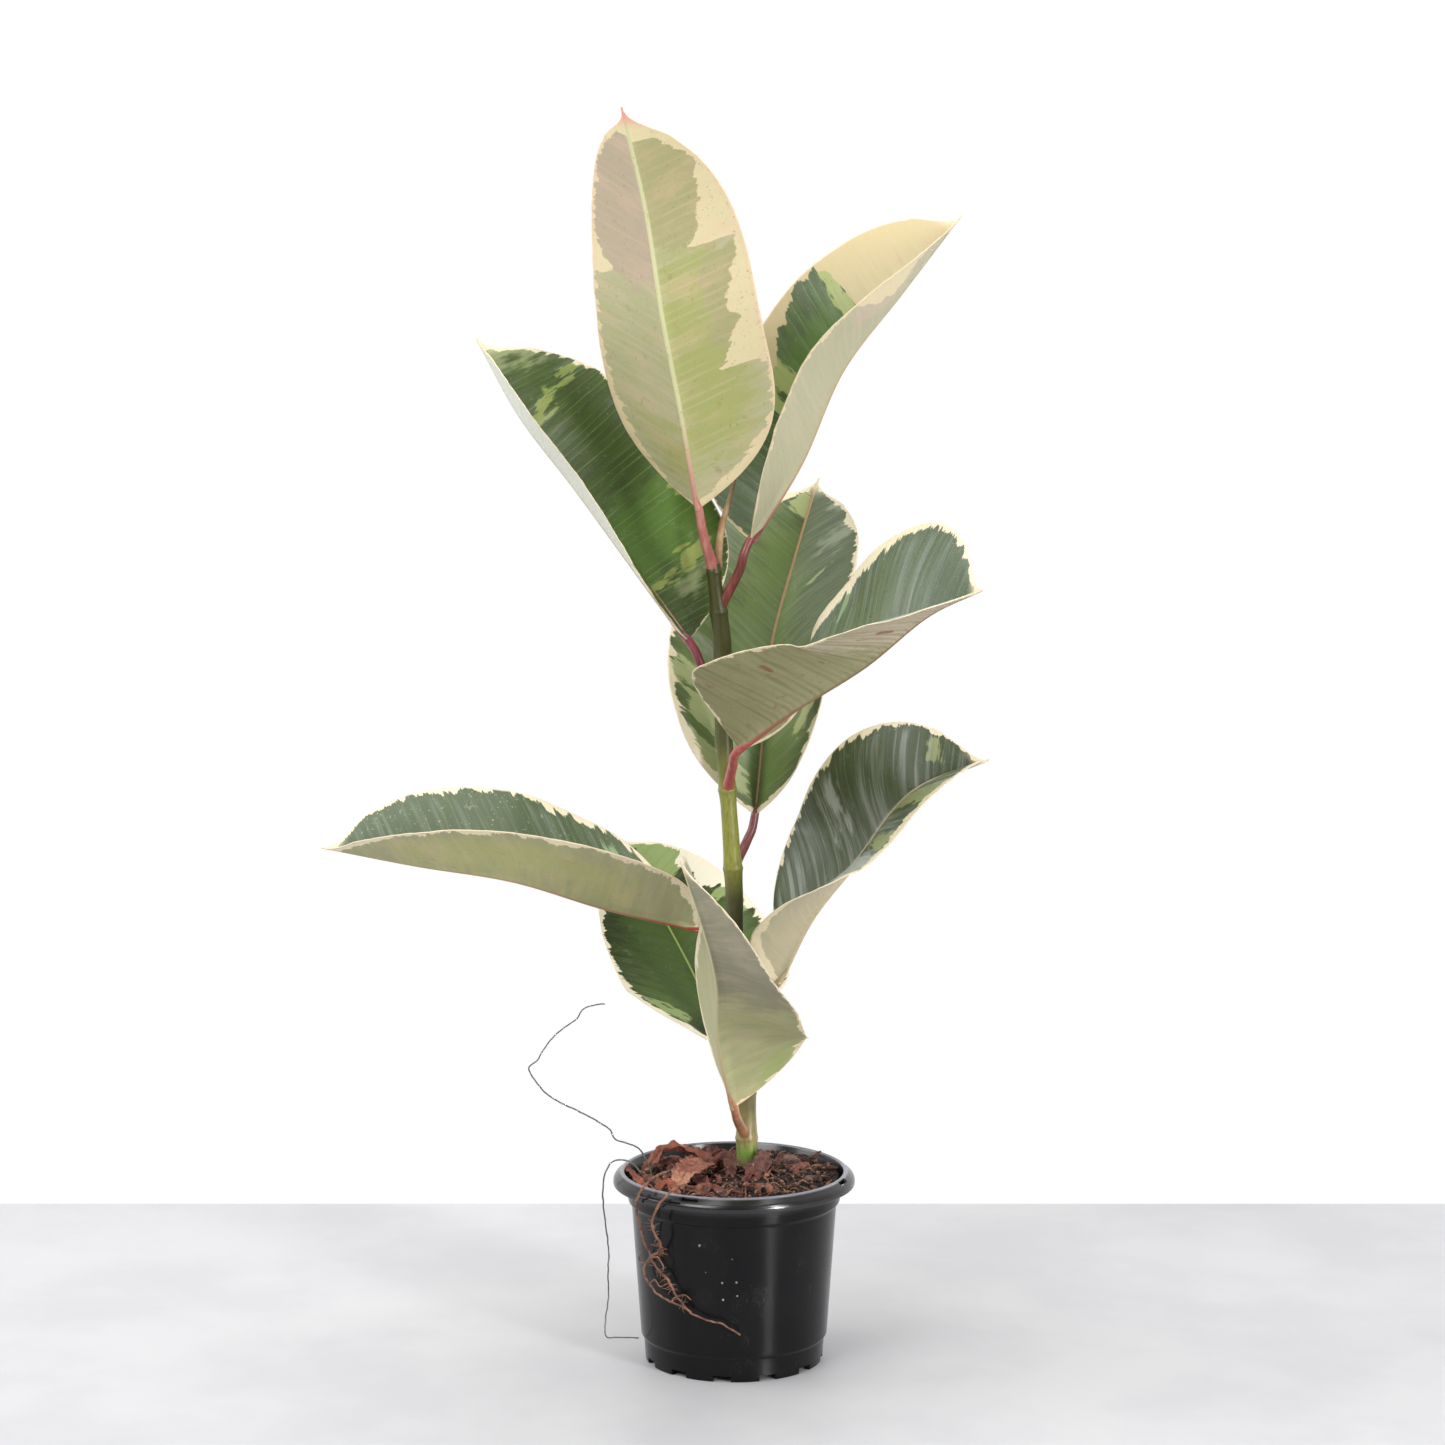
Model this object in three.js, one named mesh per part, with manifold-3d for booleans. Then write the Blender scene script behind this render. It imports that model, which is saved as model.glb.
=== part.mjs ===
// A young rubber plant with cream-edged leaves, rooted in a round nursery pot.
// Millimetres, +Z up. The origin is the middle of the pot's underside and -Y is the front.

import * as THREE from 'three';
import { mergeVertices } from 'three/addons/utils/BufferGeometryUtils.js';
import Module from 'manifold-3d';

const wasm = await Module();
wasm.setup();

// Driving dimensions of the pot
const POT_HEIGHT = 112;
const FOOT_RADIUS = 51.5;
const RIM_RADIUS = 70;
const MOUTH_RADIUS = 63.4;
const WALL = 1.4;

// Shaping of the pot's wall, foot and rim
const FOOT_HEIGHT = 13.5;
const FOOT_RING_WIDTH = 4;
const FLOOR_UNDERSIDE = 1.5;
const FLOOR_TOP = 3;
const FLOOR_PAD_RADIUS = 14;
const BODY_BASE_RADIUS = 54;
const BODY_TOP_RADIUS = 59.4;
const SHOULDER_RADIUS = 61.7;
const SHOULDER_HEIGHT = 10.5;
const RIM_DEPTH = 8;
const SKIRT_WIDTH = 1.5;
const ROUND_STEPS = 40;
const ARC_STEPS = 3;

// Drainage notches round the foot, and what is cut in the rim
const NOTCH_COUNT = 12;
const NOTCH_START = -98;
const NOTCH_SPREAD = 11.5;
const NOTCH_HEIGHT = 3.5;
const NOTCH_INNER_RADIUS = 44;
const SLOT_ANGLES = [-21, -112, 68, 157];
const SLOT_SPREAD = 8.6;
const SLOT_RADII = [65.5, 67.9];
const LEDGE_ANGLES = [-142, -116];
const LEDGE_RADIUS = 68;
const LEDGE_TOP = 107.6;

// Room left between pieces that touch
const TOUCH_GAP = 0.35;

// The soil's surface
const SOIL_LEVEL = 106.5;
const SOIL_SLOPE = [0.035, 0.015];
const MOUND_HEIGHT = 4.5;
const MOUND_SPREAD = 12;
const SOIL_WAVES = [0.8, 0.5];
const SOIL_RINGS = 10;

// The stem: points up its middle, and its radius by height
const STEM_POINTS = [
  [7.5, 14, 62], [7.5, 14, 90], [7.5, 14, 112], [7, 13.5, 149], [5, 12, 197],
  [0.5, 10.5, 245], [0, 10, 274], [-2, 9, 307], [-5, 7, 350], [-6.5, 6, 385],
  [-7, 5, 419], [-11, 4, 452], [-12, 4, 464],
];
const STEM_RADII = [
  [62, 5.6], [112, 6.1], [149, 5.6], [245, 5.3], [290, 5], [326, 4.6],
  [385, 5.1], [419, 5.3], [452, 4], [464, 3.6],
];
const STEM_SIDES = 12;
const STEM_STEPS = 30;
const STEM_SAMPLES = 400;
const STEM_HOLE_BOTTOM = 61;
const STEM_HOLE_RADIUS = 6.5;
const STEM_HOLE_SIDES = 24;

// The leaf blade: thickness, the midrib's ridge on its underside, and the drawn-out tip
const BLADE_THICKNESS = 0.8;
const RIDGE_DEPTH = [3.4, 0.3];
const RIDGE_HALF_WIDTH = 2.4;
const BLADE_CURL = -8;
const DRIP_TIP = 11;
const DRIP_TIP_HALF_WIDTH = 1.6;
const BASE_HALF_WIDTH = 2.2;
const LEAST_HALF_WIDTH = 0.5;
const BLADE_COLUMNS = [-1, -0.72, -0.4, -0.12, 0, 0.12, 0.4, 0.72, 1];
const RIDGE_COLUMN = 0.12;
const RIDGE_COLUMN_LIMIT = 0.3;
const BLADE_ROWS = 16;
const ROW_EVENNESS = 0.45;
const LEAF_CURVE_PARTS = 240;

// The leafstalk, which stops just short of the blade
const STALK_END_GAP = 0.7;
const STALK_RADII = [3.1, 2.4];
const STALK_SIDES = 8;
const STALK_STEPS = 7;
const STALK_SPANS = 2;
const STALK_POINTS = 9;

// Each leaf: the height on the stem where its stalk leaves; the way, which is a point on the stalk,
// the blade's base, three points on the midrib and the tip; the direction that its upper side
// faces; the turn about the midrib, the upward fold of each half and the lean of its side veins,
// in degrees at the base, middle and tip; half its width; and how far along it is widest.
const LEAVES = {
  leaf_1: {
    node: 459,
    way: [
      [-19, -4, 482], [-20, -8, 496], [-29, -26, 551], [-39, -43, 605], [-48, -51, 663],
      [-61, -66, 719],
    ],
    faces: [0, 1, 0.2], twist: [-23, -32, -45], fold: [18, 14, 15],
    lean: [1, 0, -2], width: 56, widest: 0.42,
  },
  leaf_2: {
    node: 436,
    way: [[5, 1, 460], [9, 5, 477], [37, 30, 520], [61, 36, 572], [95, 36, 616], [129, 35, 660]],
    faces: [-0.8, -0.3, 0.5], twist: [-2, 2, 4], fold: [34, 43, 24],
    lean: [-8, -4, -4], width: 57.5, widest: 0.36,
    belly: { depth: 5, at: 0.72, spread: 0.12 },
  },
  leaf_3: {
    node: 383,
    way: [[-20, 6, 406], [-26, 12, 419], [-58, 28, 461], [-90, 33, 504], [-122, 31, 546], [-147, 37, 590]],
    faces: [0.7, -0.5, 0.5], twist: [-8, -2, 6], fold: [35, 41, 32],
    lean: [-9, 3, -4], width: 60, widest: 0.36,
  },
  leaf_4: {
    node: 287,
    way: [[9, 26, 299], [12, 27, 315], [17, 34, 364], [22, 55, 411], [35, 80, 457], [50, 100, 505]],
    faces: [0, -1, 0.3], twist: [-15, -24, -37], fold: [47, 29, 13],
    lean: [-2, 4, -5], width: 60, widest: 0.48,
  },
  leaf_5: {
    node: 333,
    way: [[-2, -10, 350], [3, -28, 362], [32, -57, 389], [71, -74, 416], [104, -98, 446], [132, -133, 464]],
    faces: [-0.6, -0.1, 0.8], twist: [-61, -4, 9], fold: [31, 36, 31],
    lean: [-7, 1, 8], width: 62, widest: 0.33,
  },
  leaf_6: {
    node: 193,
    way: [[15, 0, 207], [24, -2, 222], [43, 0, 260], [71, 5, 294], [102, 13, 331], [148, 39, 346]],
    faces: [-0.6, -0.5, 0.6], twist: [-64, -11, 8], fold: [30, 22, 42],
    lean: [3, -12, -6], width: 57, widest: 0.36,
  },
  leaf_7: {
    node: 236,
    way: [
      [-10, -6, 249], [-20, -12, 257], [-72, -32, 273], [-123, -48, 291], [-178, -50, 300],
      [-231, -50, 310],
    ],
    faces: [0.1, -0.3, 1], twist: [17, 11, 4], fold: [28, 43, 34],
    lean: [-6, -4, -7], width: 57, widest: 0.36,
  },
  leaf_8: {
    node: 127,
    way: [[1, -3, 140], [0, -26, 155], [-8, -49, 202], [-9, -85, 240], [-16, -123, 277], [-29, -144, 320]],
    faces: [0, 1, 0.3], twist: [-32, -58, -74], fold: [39, 22, 10],
    lean: [3, 13, 4], width: 55, widest: 0.42,
  },
  leaf_9: {
    node: 154,
    way: [[1, 24, 166], [-4, 24, 177], [-16, 62, 197], [-31, 95, 221], [-51, 118, 252], [-74, 133, 286]],
    faces: [0.2, -0.8, 0.6], twist: [-6, 9, 33], fold: [28, 15, 13],
    lean: [3, -1, -1], width: 55.5, widest: 0.41,
  },
};

// The slender dried sheath that stands at the growing tip
const SHEATH_POINTS = [
  [-8.5, 8.5, 461], [-8.6, 8, 472], [-7, 8.6, 485], [-3.6, 9, 497], [-0.8, 9.5, 507], [2, 10, 517],
];
const SHEATH_RADII = [1.7, 2.1, 1.9, 1.5, 1, 0.45];
const SHEATH_SIDES = 8;
const SHEATH_STEPS = 12;

// Roots that have grown out of the pot
const BROWN_ROOT_RADIUS = 1.05;
const BROWN_ROOTLET_RADIUS = 0.6;
const GREY_ROOT_RADIUS = 0.55;
const LONG_ROOT_SIDES = 5;
const FINE_ROOT_SIDES = 4;
const ROOT_STEPS_PER_POINT = 1.7;
const ROOTLET_STEPS = 7;
const LONG_ROOT_LEFT = [
  [-27, 18, 102], [-33, 4, 110], [-38.5, -12, 113], [-44.6, -36, 117], [-50.6, -50, 115.6],
  [-54.2, -48.6, 109], [-56, -46.4, 103], [-54.4, -43.8, 93], [-51.2, -39.4, 79], [-48, -38.4, 71],
  [-52, -31.4, 61], [-48.2, -35.9, 53], [-40.8, -43.4, 48], [-31.2, -50.2, 45.2], [-24.6, -53.8, 42.3],
];
const LONG_ROOT_RIGHT = [
  [-19, 12, 102], [-19.6, -2, 106.4], [-20.8, -20, 107], [-23.4, -36, 110.4], [-28.6, -50, 115.6],
  [-34.6, -60.6, 115.6],
  [-41.4, -60.4, 108.4], [-45, -57, 101], [-46.6, -52.6, 93.4], [-45, -49.8, 86.6], [-41.8, -48.6, 80.8],
  [-43.2, -45, 75.6], [-47.2, -39.6, 70], [-43.4, -43, 64.2], [-38.8, -46.6, 60.6], [-34.4, -49.6, 53.4],
  [-29.6, -52.2, 47], [-25, -54.2, 42.4], [-17.2, -56.6, 39], [-7, -58.4, 36.6], [3.2, -58.4, 30.4],
];
const ROOTLETS = [
  [[-47.6, -39, 70], [-51.4, -35.8, 66], [-54.6, -31, 66.6], [-53, -34, 72]],
  [[-47.4, -39.4, 70.2], [-43.4, -44.6, 71.6], [-40.4, -48.2, 67], [-42, -46.6, 62.4]],
  [[-48.4, -36.4, 54], [-45.4, -41.2, 57.4], [-42.2, -45, 55], [-37.4, -48.6, 57.6]],
  [[-36, -47.6, 46.6], [-33.4, -50.4, 50.4], [-28.2, -53.8, 52.4], [-24.6, -55.2, 49.6]],
];
const GREY_ROOT_UPPER = [
  [-46, 7, 101], [-50, 6, 113], [-55.2, 4.6, 122.6], [-62.7, 3, 126.5], [-69, 1.5, 129.2],
  [-71.8, 0.2, 134.9],
  [-78.1, -1, 139.9], [-90.2, -2.2, 146.8], [-104, -3.5, 154.2], [-111.9, -4.8, 161.6], [-117, -6, 169.5],
  [-117.8, -7.2, 173.9], [-113.1, -8.5, 178.3], [-109.8, -9.8, 184.5], [-102.2, -11, 194.2],
  [-91.2, -12.2, 202.7], [-86.6, -13.5, 209], [-80.2, -14.8, 212], [-74.2, -16, 212.8],
];
const GREY_ROOT_LOWER = [
  [-49, -5, 101], [-54, -5.4, 111], [-60, -5.8, 117.4], [-67.1, -6, 118.7], [-72.2, -6.6, 115.9],
  [-75.2, -7.2, 108.3],
  [-75.8, -7.8, 95.4], [-74.1, -8.5, 79.8], [-72.6, -9.1, 64.2], [-73, -9.7, 51.2], [-72.9, -10.3, 38.9],
  [-74.3, -10.9, 26.2], [-74.9, -11.5, 18.6], [-73.2, -12.2, 14.6], [-68, -12.8, 14.8], [-61, -13.2, 14.7],
  [-55.3, -13.4, 14.9],
];
const GREY_ROOTS = { grey_root_upper: GREY_ROOT_UPPER, grey_root_lower: GREY_ROOT_LOWER };

// Dried scraps of leaf and sheath on the soil: points along each, the side that it shows, its turn
// and fold in degrees at the start, middle and end, and half its width
const SCRAP_THICKNESS = 0.7;
const SCRAP_COLUMNS = [-1, -0.45, 0, 0.45, 1];
const SCRAP_ROWS = 7;
const SCRAP_RIB = 0.3;
const SCRAP_END_WIDTH = 0.35;
const SCRAP_RAGGEDNESS = 0.12;
const SCRAP_RAGGED_WAVES = 21;
const SCRAPS = {
  dried_sheath: {
    points: [
      [-52, 15, 103], [-47, 19, 111.5], [-38, 24, 116.4], [-26, 23, 115.4], [-16, 19, 111.4],
      [-10, 17, 104.5],
    ],
    faces: [0, -0.6, 1], twist: [10, -34, 6], fold: [24, 34, 20], width: 6,
  },
  rim_scrap: {
    points: [[-57, 14, 103], [-59.6, 6, 109.6], [-59.8, -6, 111.6], [-55.4, -18, 110], [-48.6, -27, 103]],
    faces: [0.7, -0.5, 1], twist: [0, 6, 0], fold: [12, 20, 12], width: 3.6,
  },
  broad_scrap: {
    points: [[-16, 15, 104], [-17, 8, 113.4], [-22, -4, 114.2], [-28.6, -16, 112.2], [-35, -27, 103]],
    faces: [-0.1, -0.7, 1], twist: [-12, 6, 14], fold: [20, 14, 26], width: 8.5,
  },
  front_scrap: {
    points: [[-46, -31, 103], [-42, -29.4, 109], [-36.6, -30, 110], [-31.6, -40, 103]],
    faces: [0, -0.5, 1], twist: [8, -10, 12], fold: [18, 30, 18], width: 3.6,
  },
  stem_scrap_left: {
    points: [[-9, 12, 104], [-8, 10, 113], [-4.5, 6.5, 116.5], [-1.6, 0, 113], [-2.4, -5, 104]],
    faces: [0.2, -0.8, 0.8], twist: [0, 24, 0], fold: [22, 40, 22], width: 4.6,
  },
  stem_scrap_right: {
    points: [[19.5, 16, 104], [18.6, 8, 115], [14.6, -1, 113.4], [10, -7, 110], [8, -13, 103]],
    faces: [0.5, -0.7, 0.7], twist: [0, 12, -8], fold: [16, 26, 18], width: 6,
  },
};

// Lumps of bark, and twigs, part sunk in the soil: middle, half sizes and turn in degrees
const BARK = {
  bark_lump_1: { middle: [32, 24, 109.6], half: [8, 5, 4.4], turn: -14 },
  bark_lump_2: { middle: [44, -10, 107.8], half: [5, 3.6, 3], turn: 38 },
  bark_lump_3: { middle: [-6, -34, 106.2], half: [5.4, 3.4, 2.6], turn: 20 },
};
const BARK_ROUGHNESS = [0.13, 0.1];
const TWIG_RADIUS = 0.9;
const TWIG_SIDES = 6;
const TWIG_STEPS = 6;
const TWIGS = {
  twig_1: [[24, -22, 105], [32, -25, 108.2], [41, -30, 108], [48, -33, 105]],
  twig_2: [[40, 34, 106], [46, 33, 111], [51, 30, 114.6]],
};

const COLOURS = {
  pot: '#1b1b1d', soil: '#33241c', stem: '#6f7d3a', green: '#5d7048', stalk: '#a2584e',
  sheath: '#b08d6c', brown: '#8a4a31', grey: '#77736b', bark: '#5a3a35', twig: '#6b5038',
};

const radians = THREE.MathUtils.degToRad;
const vector = (point) => new THREE.Vector3(...point);
const splineOf = (points) => new THREE.CatmullRomCurve3(points.map(vector), false, 'catmullrom', 0.5);

// One closed surface: shared corners merged, and faces without area dropped
function weld(geometry) {
  const bare = new THREE.BufferGeometry();
  bare.setAttribute('position', geometry.getAttribute('position'));
  bare.setIndex(geometry.getIndex());
  const merged = mergeVertices(bare, 1e-4);
  const corners = merged.getIndex().array;
  const kept = [];
  for (let i = 0; i < corners.length; i += 3) {
    const [a, b, c] = corners.slice(i, i + 3);
    if (a !== b && b !== c && c !== a) kept.push(a, b, c);
  }
  merged.setIndex(kept);
  return merged;
}

function solidOf(geometry) {
  const welded = weld(geometry);
  return new wasm.Manifold(new wasm.Mesh({
    numProp: 3,
    vertProperties: new Float32Array(welded.getAttribute('position').array),
    triVerts: new Uint32Array(welded.getIndex().array),
  }));
}

function geometryOf(solid) {
  const mesh = solid.getMesh();
  const geometry = new THREE.BufferGeometry();
  geometry.setAttribute('position', new THREE.BufferAttribute(mesh.vertProperties, 3));
  geometry.setIndex(new THREE.BufferAttribute(mesh.triVerts, 1));
  return geometry;
}

// Moves every corner of a shape to the place that a rule gives for it
function remap(geometry, place) {
  const positions = geometry.getAttribute('position');
  const corner = new THREE.Vector3();
  for (let i = 0; i < positions.count; i += 1) {
    corner.fromBufferAttribute(positions, i);
    positions.setXYZ(i, ...place(corner));
  }
  return geometry;
}

// A profile of [radius, height] points turned about the pot's axis
function turned(profile) {
  const points = profile.map(([radius, height]) => new THREE.Vector2(radius, height));
  return new THREE.LatheGeometry(points, ROUND_STEPS).rotateX(Math.PI / 2);
}

// A block with curved sides between two radii, two angles and two heights
function sector(radii, angles, heights) {
  const [from, to] = angles.map(radians);
  const shape = new THREE.Shape();
  shape.absarc(0, 0, radii[1], from, to, false);
  shape.absarc(0, 0, radii[0], to, from, true);
  const block = new THREE.ExtrudeGeometry(shape, {
    depth: heights[1] - heights[0], bevelEnabled: false, curveSegments: ARC_STEPS,
  });
  return solidOf(block.translate(0, 0, heights[0]));
}

// Value at a share from 0 to 1 of a smooth run through three given values
function smoothly([start, middle, end], share) {
  const ends = start * (1 - share) * (1 - 2 * share) + end * share * (2 * share - 1);
  return ends + 4 * middle * share * (1 - share);
}

// Value read off straight lines through [position, value] pairs
function between(pairs, position) {
  const next = pairs.findIndex(([at]) => at >= position);
  if (next === 0) return pairs[0][1];
  if (next < 0) return pairs.at(-1)[1];
  const [[a, low], [b, high]] = pairs.slice(next - 1, next + 1);
  return low + ((high - low) * (position - a)) / (b - a);
}

// A round rod along a curve whose radius changes, with flat ends
function taperedRod(curve, radiusAt, sides, steps) {
  const frames = curve.computeFrenetFrames(steps);
  const centres = curve.getSpacedPoints(steps);
  return remap(new THREE.CylinderGeometry(1, 1, 1, sides, steps), (corner) => {
    const step = Math.round((corner.y + 0.5) * steps);
    const radius = radiusAt(step / steps, centres[step]);
    return centres[step].clone()
      .addScaledVector(frames.binormals[step], corner.x * radius)
      .addScaledVector(frames.normals[step], corner.z * radius);
  });
}

// A round rod of one radius along a curve
function evenRod(curve, radius, sides, steps) {
  const ring = new THREE.Shape();
  for (let side = 0; side < sides; side += 1) {
    const angle = (2 * Math.PI * side) / sides;
    const corner = [radius * Math.cos(angle), radius * Math.sin(angle)];
    if (side === 0) ring.moveTo(...corner);
    else ring.lineTo(...corner);
  }
  return new THREE.ExtrudeGeometry(ring, { steps, extrudePath: curve, bevelEnabled: false });
}

function potProfile() {
  const skirtFoot = POT_HEIGHT - RIM_DEPTH;
  const shoulderFoot = skirtFoot - SHOULDER_HEIGHT;
  const stepTop = FOOT_HEIGHT + 1.8;
  return [
    [0, 0], [FLOOR_PAD_RADIUS, 0], [FLOOR_PAD_RADIUS + FLOOR_UNDERSIDE, FLOOR_UNDERSIDE],
    [FOOT_RADIUS - FOOT_RING_WIDTH, FLOOR_UNDERSIDE],
    [FOOT_RADIUS - FOOT_RING_WIDTH, 0], [FOOT_RADIUS, 0],
    [FOOT_RADIUS + 0.9, FOOT_HEIGHT], [BODY_BASE_RADIUS, stepTop],
    [BODY_TOP_RADIUS, shoulderFoot - 1], [SHOULDER_RADIUS - 0.3, shoulderFoot + 1],
    [SHOULDER_RADIUS, skirtFoot - 1], [MOUTH_RADIUS + WALL, skirtFoot + 4.4],
    [RIM_RADIUS - SKIRT_WIDTH - 0.2, skirtFoot + 1.8], [RIM_RADIUS - SKIRT_WIDTH, skirtFoot],
    [RIM_RADIUS, skirtFoot], [RIM_RADIUS, skirtFoot + 2.6],
    [RIM_RADIUS - 0.8, POT_HEIGHT - 3.6], [MOUTH_RADIUS + 2.2, POT_HEIGHT - 0.5],
    [MOUTH_RADIUS + 1, POT_HEIGHT], [MOUTH_RADIUS, POT_HEIGHT - 0.6],
    ...innerWall(0),
    [FOOT_RADIUS - WALL, FLOOR_TOP], [0, FLOOR_TOP],
  ];
}

// The inner wall from the mouth down to the foot, drawn in by a gap
function innerWall(gap) {
  const skirtFoot = POT_HEIGHT - RIM_DEPTH;
  const shoulderFoot = skirtFoot - SHOULDER_HEIGHT;
  const inset = WALL + gap;
  return [
    [SHOULDER_RADIUS - inset, skirtFoot - 1.2],
    [SHOULDER_RADIUS - 0.3 - inset, shoulderFoot + 1.4],
    [BODY_TOP_RADIUS - inset, shoulderFoot - 1.3],
    [BODY_BASE_RADIUS - inset, FOOT_HEIGHT + 2.1],
    [FOOT_RADIUS + 0.9 - inset, FOOT_HEIGHT - 0.1],
  ];
}

function makePot() {
  let pot = solidOf(turned(potProfile()));
  for (let notch = 0; notch < NOTCH_COUNT; notch += 1) {
    const middle = NOTCH_START + (360 / NOTCH_COUNT) * notch;
    const angles = [middle - NOTCH_SPREAD / 2, middle + NOTCH_SPREAD / 2];
    pot = pot.subtract(sector([NOTCH_INNER_RADIUS, FOOT_RADIUS + 2], angles, [-1, NOTCH_HEIGHT]));
  }
  for (const middle of SLOT_ANGLES) {
    const angles = [middle - SLOT_SPREAD / 2, middle + SLOT_SPREAD / 2];
    pot = pot.subtract(sector(SLOT_RADII, angles, [POT_HEIGHT - RIM_DEPTH - 1, POT_HEIGHT + 1]));
  }
  return pot.subtract(sector([LEDGE_RADIUS, RIM_RADIUS + 1], LEDGE_ANGLES, [LEDGE_TOP, POT_HEIGHT]));
}

function soilHeight(x, y) {
  const [stemX, stemY] = STEM_POINTS[2];
  const away = Math.hypot(x - stemX, y - stemY) / MOUND_SPREAD;
  const mound = MOUND_HEIGHT * Math.exp(-0.5 * away * away);
  const broadWaves = SOIL_WAVES[0] * Math.sin(0.19 * x + 0.6) * Math.cos(0.23 * y - 0.4);
  const slantWaves = SOIL_WAVES[1] * Math.sin(0.31 * x - 0.27 * y + 1.1);
  return SOIL_LEVEL + SOIL_SLOPE[0] * x + SOIL_SLOPE[1] * y + mound + broadWaves + slantWaves;
}

// The soil's body up to its uneven surface, raised or drawn in by a gap
function soilBody(lift, gap) {
  const wall = innerWall(gap).reverse();
  const edge = wall.at(-1)[0];
  const profile = [[0, FLOOR_TOP + gap], [FOOT_RADIUS - WALL - gap, FLOOR_TOP + gap], ...wall];
  for (let ring = 0; ring <= SOIL_RINGS; ring += 1) {
    profile.push([edge * (1 - ring / SOIL_RINGS), SOIL_LEVEL]);
  }
  const uneven = ({ x, y, z }) => [x, y, z < SOIL_LEVEL ? z : soilHeight(x, y) + lift];
  return solidOf(remap(turned(profile), uneven));
}

const stemCurve = splineOf(STEM_POINTS);

function stemRod(gap) {
  const radiusAt = (share, centre) => between(STEM_RADII, centre.z) + gap;
  return taperedRod(stemCurve, radiusAt, STEM_SIDES, STEM_STEPS);
}

function stemAt(height) {
  const centres = stemCurve.getSpacedPoints(STEM_SAMPLES);
  return centres.find((centre) => centre.z >= height).toArray();
}

function makeSoil() {
  const [x, y] = STEM_POINTS[0];
  const reach = POT_HEIGHT + MOUND_HEIGHT - STEM_HOLE_BOTTOM;
  const hole = new THREE.CylinderGeometry(STEM_HOLE_RADIUS, STEM_HOLE_RADIUS, reach, STEM_HOLE_SIDES);
  hole.rotateX(Math.PI / 2).translate(x, y, STEM_HOLE_BOTTOM + reach / 2);
  return soilBody(0, TOUCH_GAP).subtract(solidOf(hole));
}

// Half the blade's width at a share of its length
function halfWidth(leaf, share, length) {
  const body = Math.min(share / (1 - DRIP_TIP / length), 1);
  const toBase = Math.max(1 - body / leaf.widest, 0);
  const toTip = Math.max((body - leaf.widest) / (1 - leaf.widest), 0);
  const width = leaf.width * (1 - toBase ** 3) * Math.sqrt(1 - toTip ** 4);
  const drip = DRIP_TIP_HALF_WIDTH * Math.min(((1 - share) * length) / DRIP_TIP, 1);
  const base = BASE_HALF_WIDTH * Math.max(1 - share * 10, 0);
  return Math.max(width, drip, base, LEAST_HALF_WIDTH);
}

// How far one half of a blade sags at a share of its length
function bellyDepth({ depth, at, spread }, share) {
  return depth * Math.exp(-(((share - at) / spread) ** 2));
}

// The place, directions and angles of a blade at a share of its length
function station(spec, share) {
  const at = spec.from + (1 - spec.from) * share;
  const place = spec.curve.getPointAt(at);
  const along = spec.curve.getTangentAt(at);
  const faces = vector(spec.faces);
  const up = faces.addScaledVector(along, -faces.dot(along)).normalize();
  const right = along.clone().cross(up);
  const turn = radians(smoothly(spec.twist, share));
  return {
    place,
    along,
    up: up.clone().multiplyScalar(Math.cos(turn)).addScaledVector(right, Math.sin(turn)),
    right: right.clone().multiplyScalar(Math.cos(turn)).addScaledVector(up, -Math.sin(turn)),
    fold: radians(smoothly(spec.fold, share)),
    lean: radians(smoothly(spec.lean ?? [0, 0, 0], share)),
    width: spec.widthAt(share),
    belly: spec.belly ? bellyDepth(spec.belly, share) : 0,
    ridge: spec.ridgeAt(share),
  };
}

// A point of the blade: column from -1 to 1 across it, on its upper side or its underside
function bladePoint(s, column, upper, thickness) {
  const side = Math.sign(column);
  const share = Math.abs(column);
  const curl = radians(BLADE_CURL);
  const start = s.fold - curl / 2;
  const angle = start + curl * share;
  const across = ((Math.sin(angle) - Math.sin(start)) / curl) * s.width;
  const belly = side > 0 ? s.belly * Math.sin(Math.PI * share) : 0;
  const rise = ((Math.cos(start) - Math.cos(angle)) / curl) * s.width - belly;
  const point = s.place.clone()
    .addScaledVector(s.right, side * across * Math.cos(s.lean))
    .addScaledVector(s.along, across * Math.sin(s.lean))
    .addScaledVector(s.up, rise);
  if (upper) return point;
  if (column === 0) return point.addScaledVector(s.up, -thickness - s.ridge);
  return point
    .addScaledVector(s.up, -thickness * Math.cos(angle))
    .addScaledVector(s.right, thickness * side * Math.sin(angle));
}

// The underside's squares are halved along the same diagonals as the upper side's
function splitAlike(box) {
  const corners = box.getIndex().array;
  const under = box.groups[5];
  for (let i = under.start; i < under.start + under.count; i += 6) {
    const [a, b, d, , c] = corners.slice(i, i + 5);
    corners.set([a, b, c, a, c, d], i);
  }
  return box;
}

// Rows stand closer together towards both ends
function rowShare(even) {
  return ROW_EVENNESS * even + ((1 - ROW_EVENNESS) * (1 - Math.cos(Math.PI * even))) / 2;
}

// The columns beside the midrib keep the ridge's own width
function besideRidge(column, width) {
  if (Math.abs(column) !== RIDGE_COLUMN) return column;
  return Math.sign(column) * Math.min(RIDGE_HALF_WIDTH / width, RIDGE_COLUMN_LIMIT);
}

// A thin waved sheet with two folded halves, from a block that is one square thick
function sheet(spec, shares, rows, thickness) {
  const columns = shares.length - 1;
  const stations = Array.from({ length: rows + 1 }, (unused, row) => station(spec, rowShare(row / rows)));
  return remap(splitAlike(new THREE.BoxGeometry(1, 1, 1, columns, rows, 1)), (corner) => {
    const s = stations[Math.round((corner.y + 0.5) * rows)];
    const column = shares[Math.round((corner.x + 0.5) * columns)];
    return bladePoint(s, besideRidge(column, s.width), corner.z > 0, thickness);
  });
}

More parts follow.
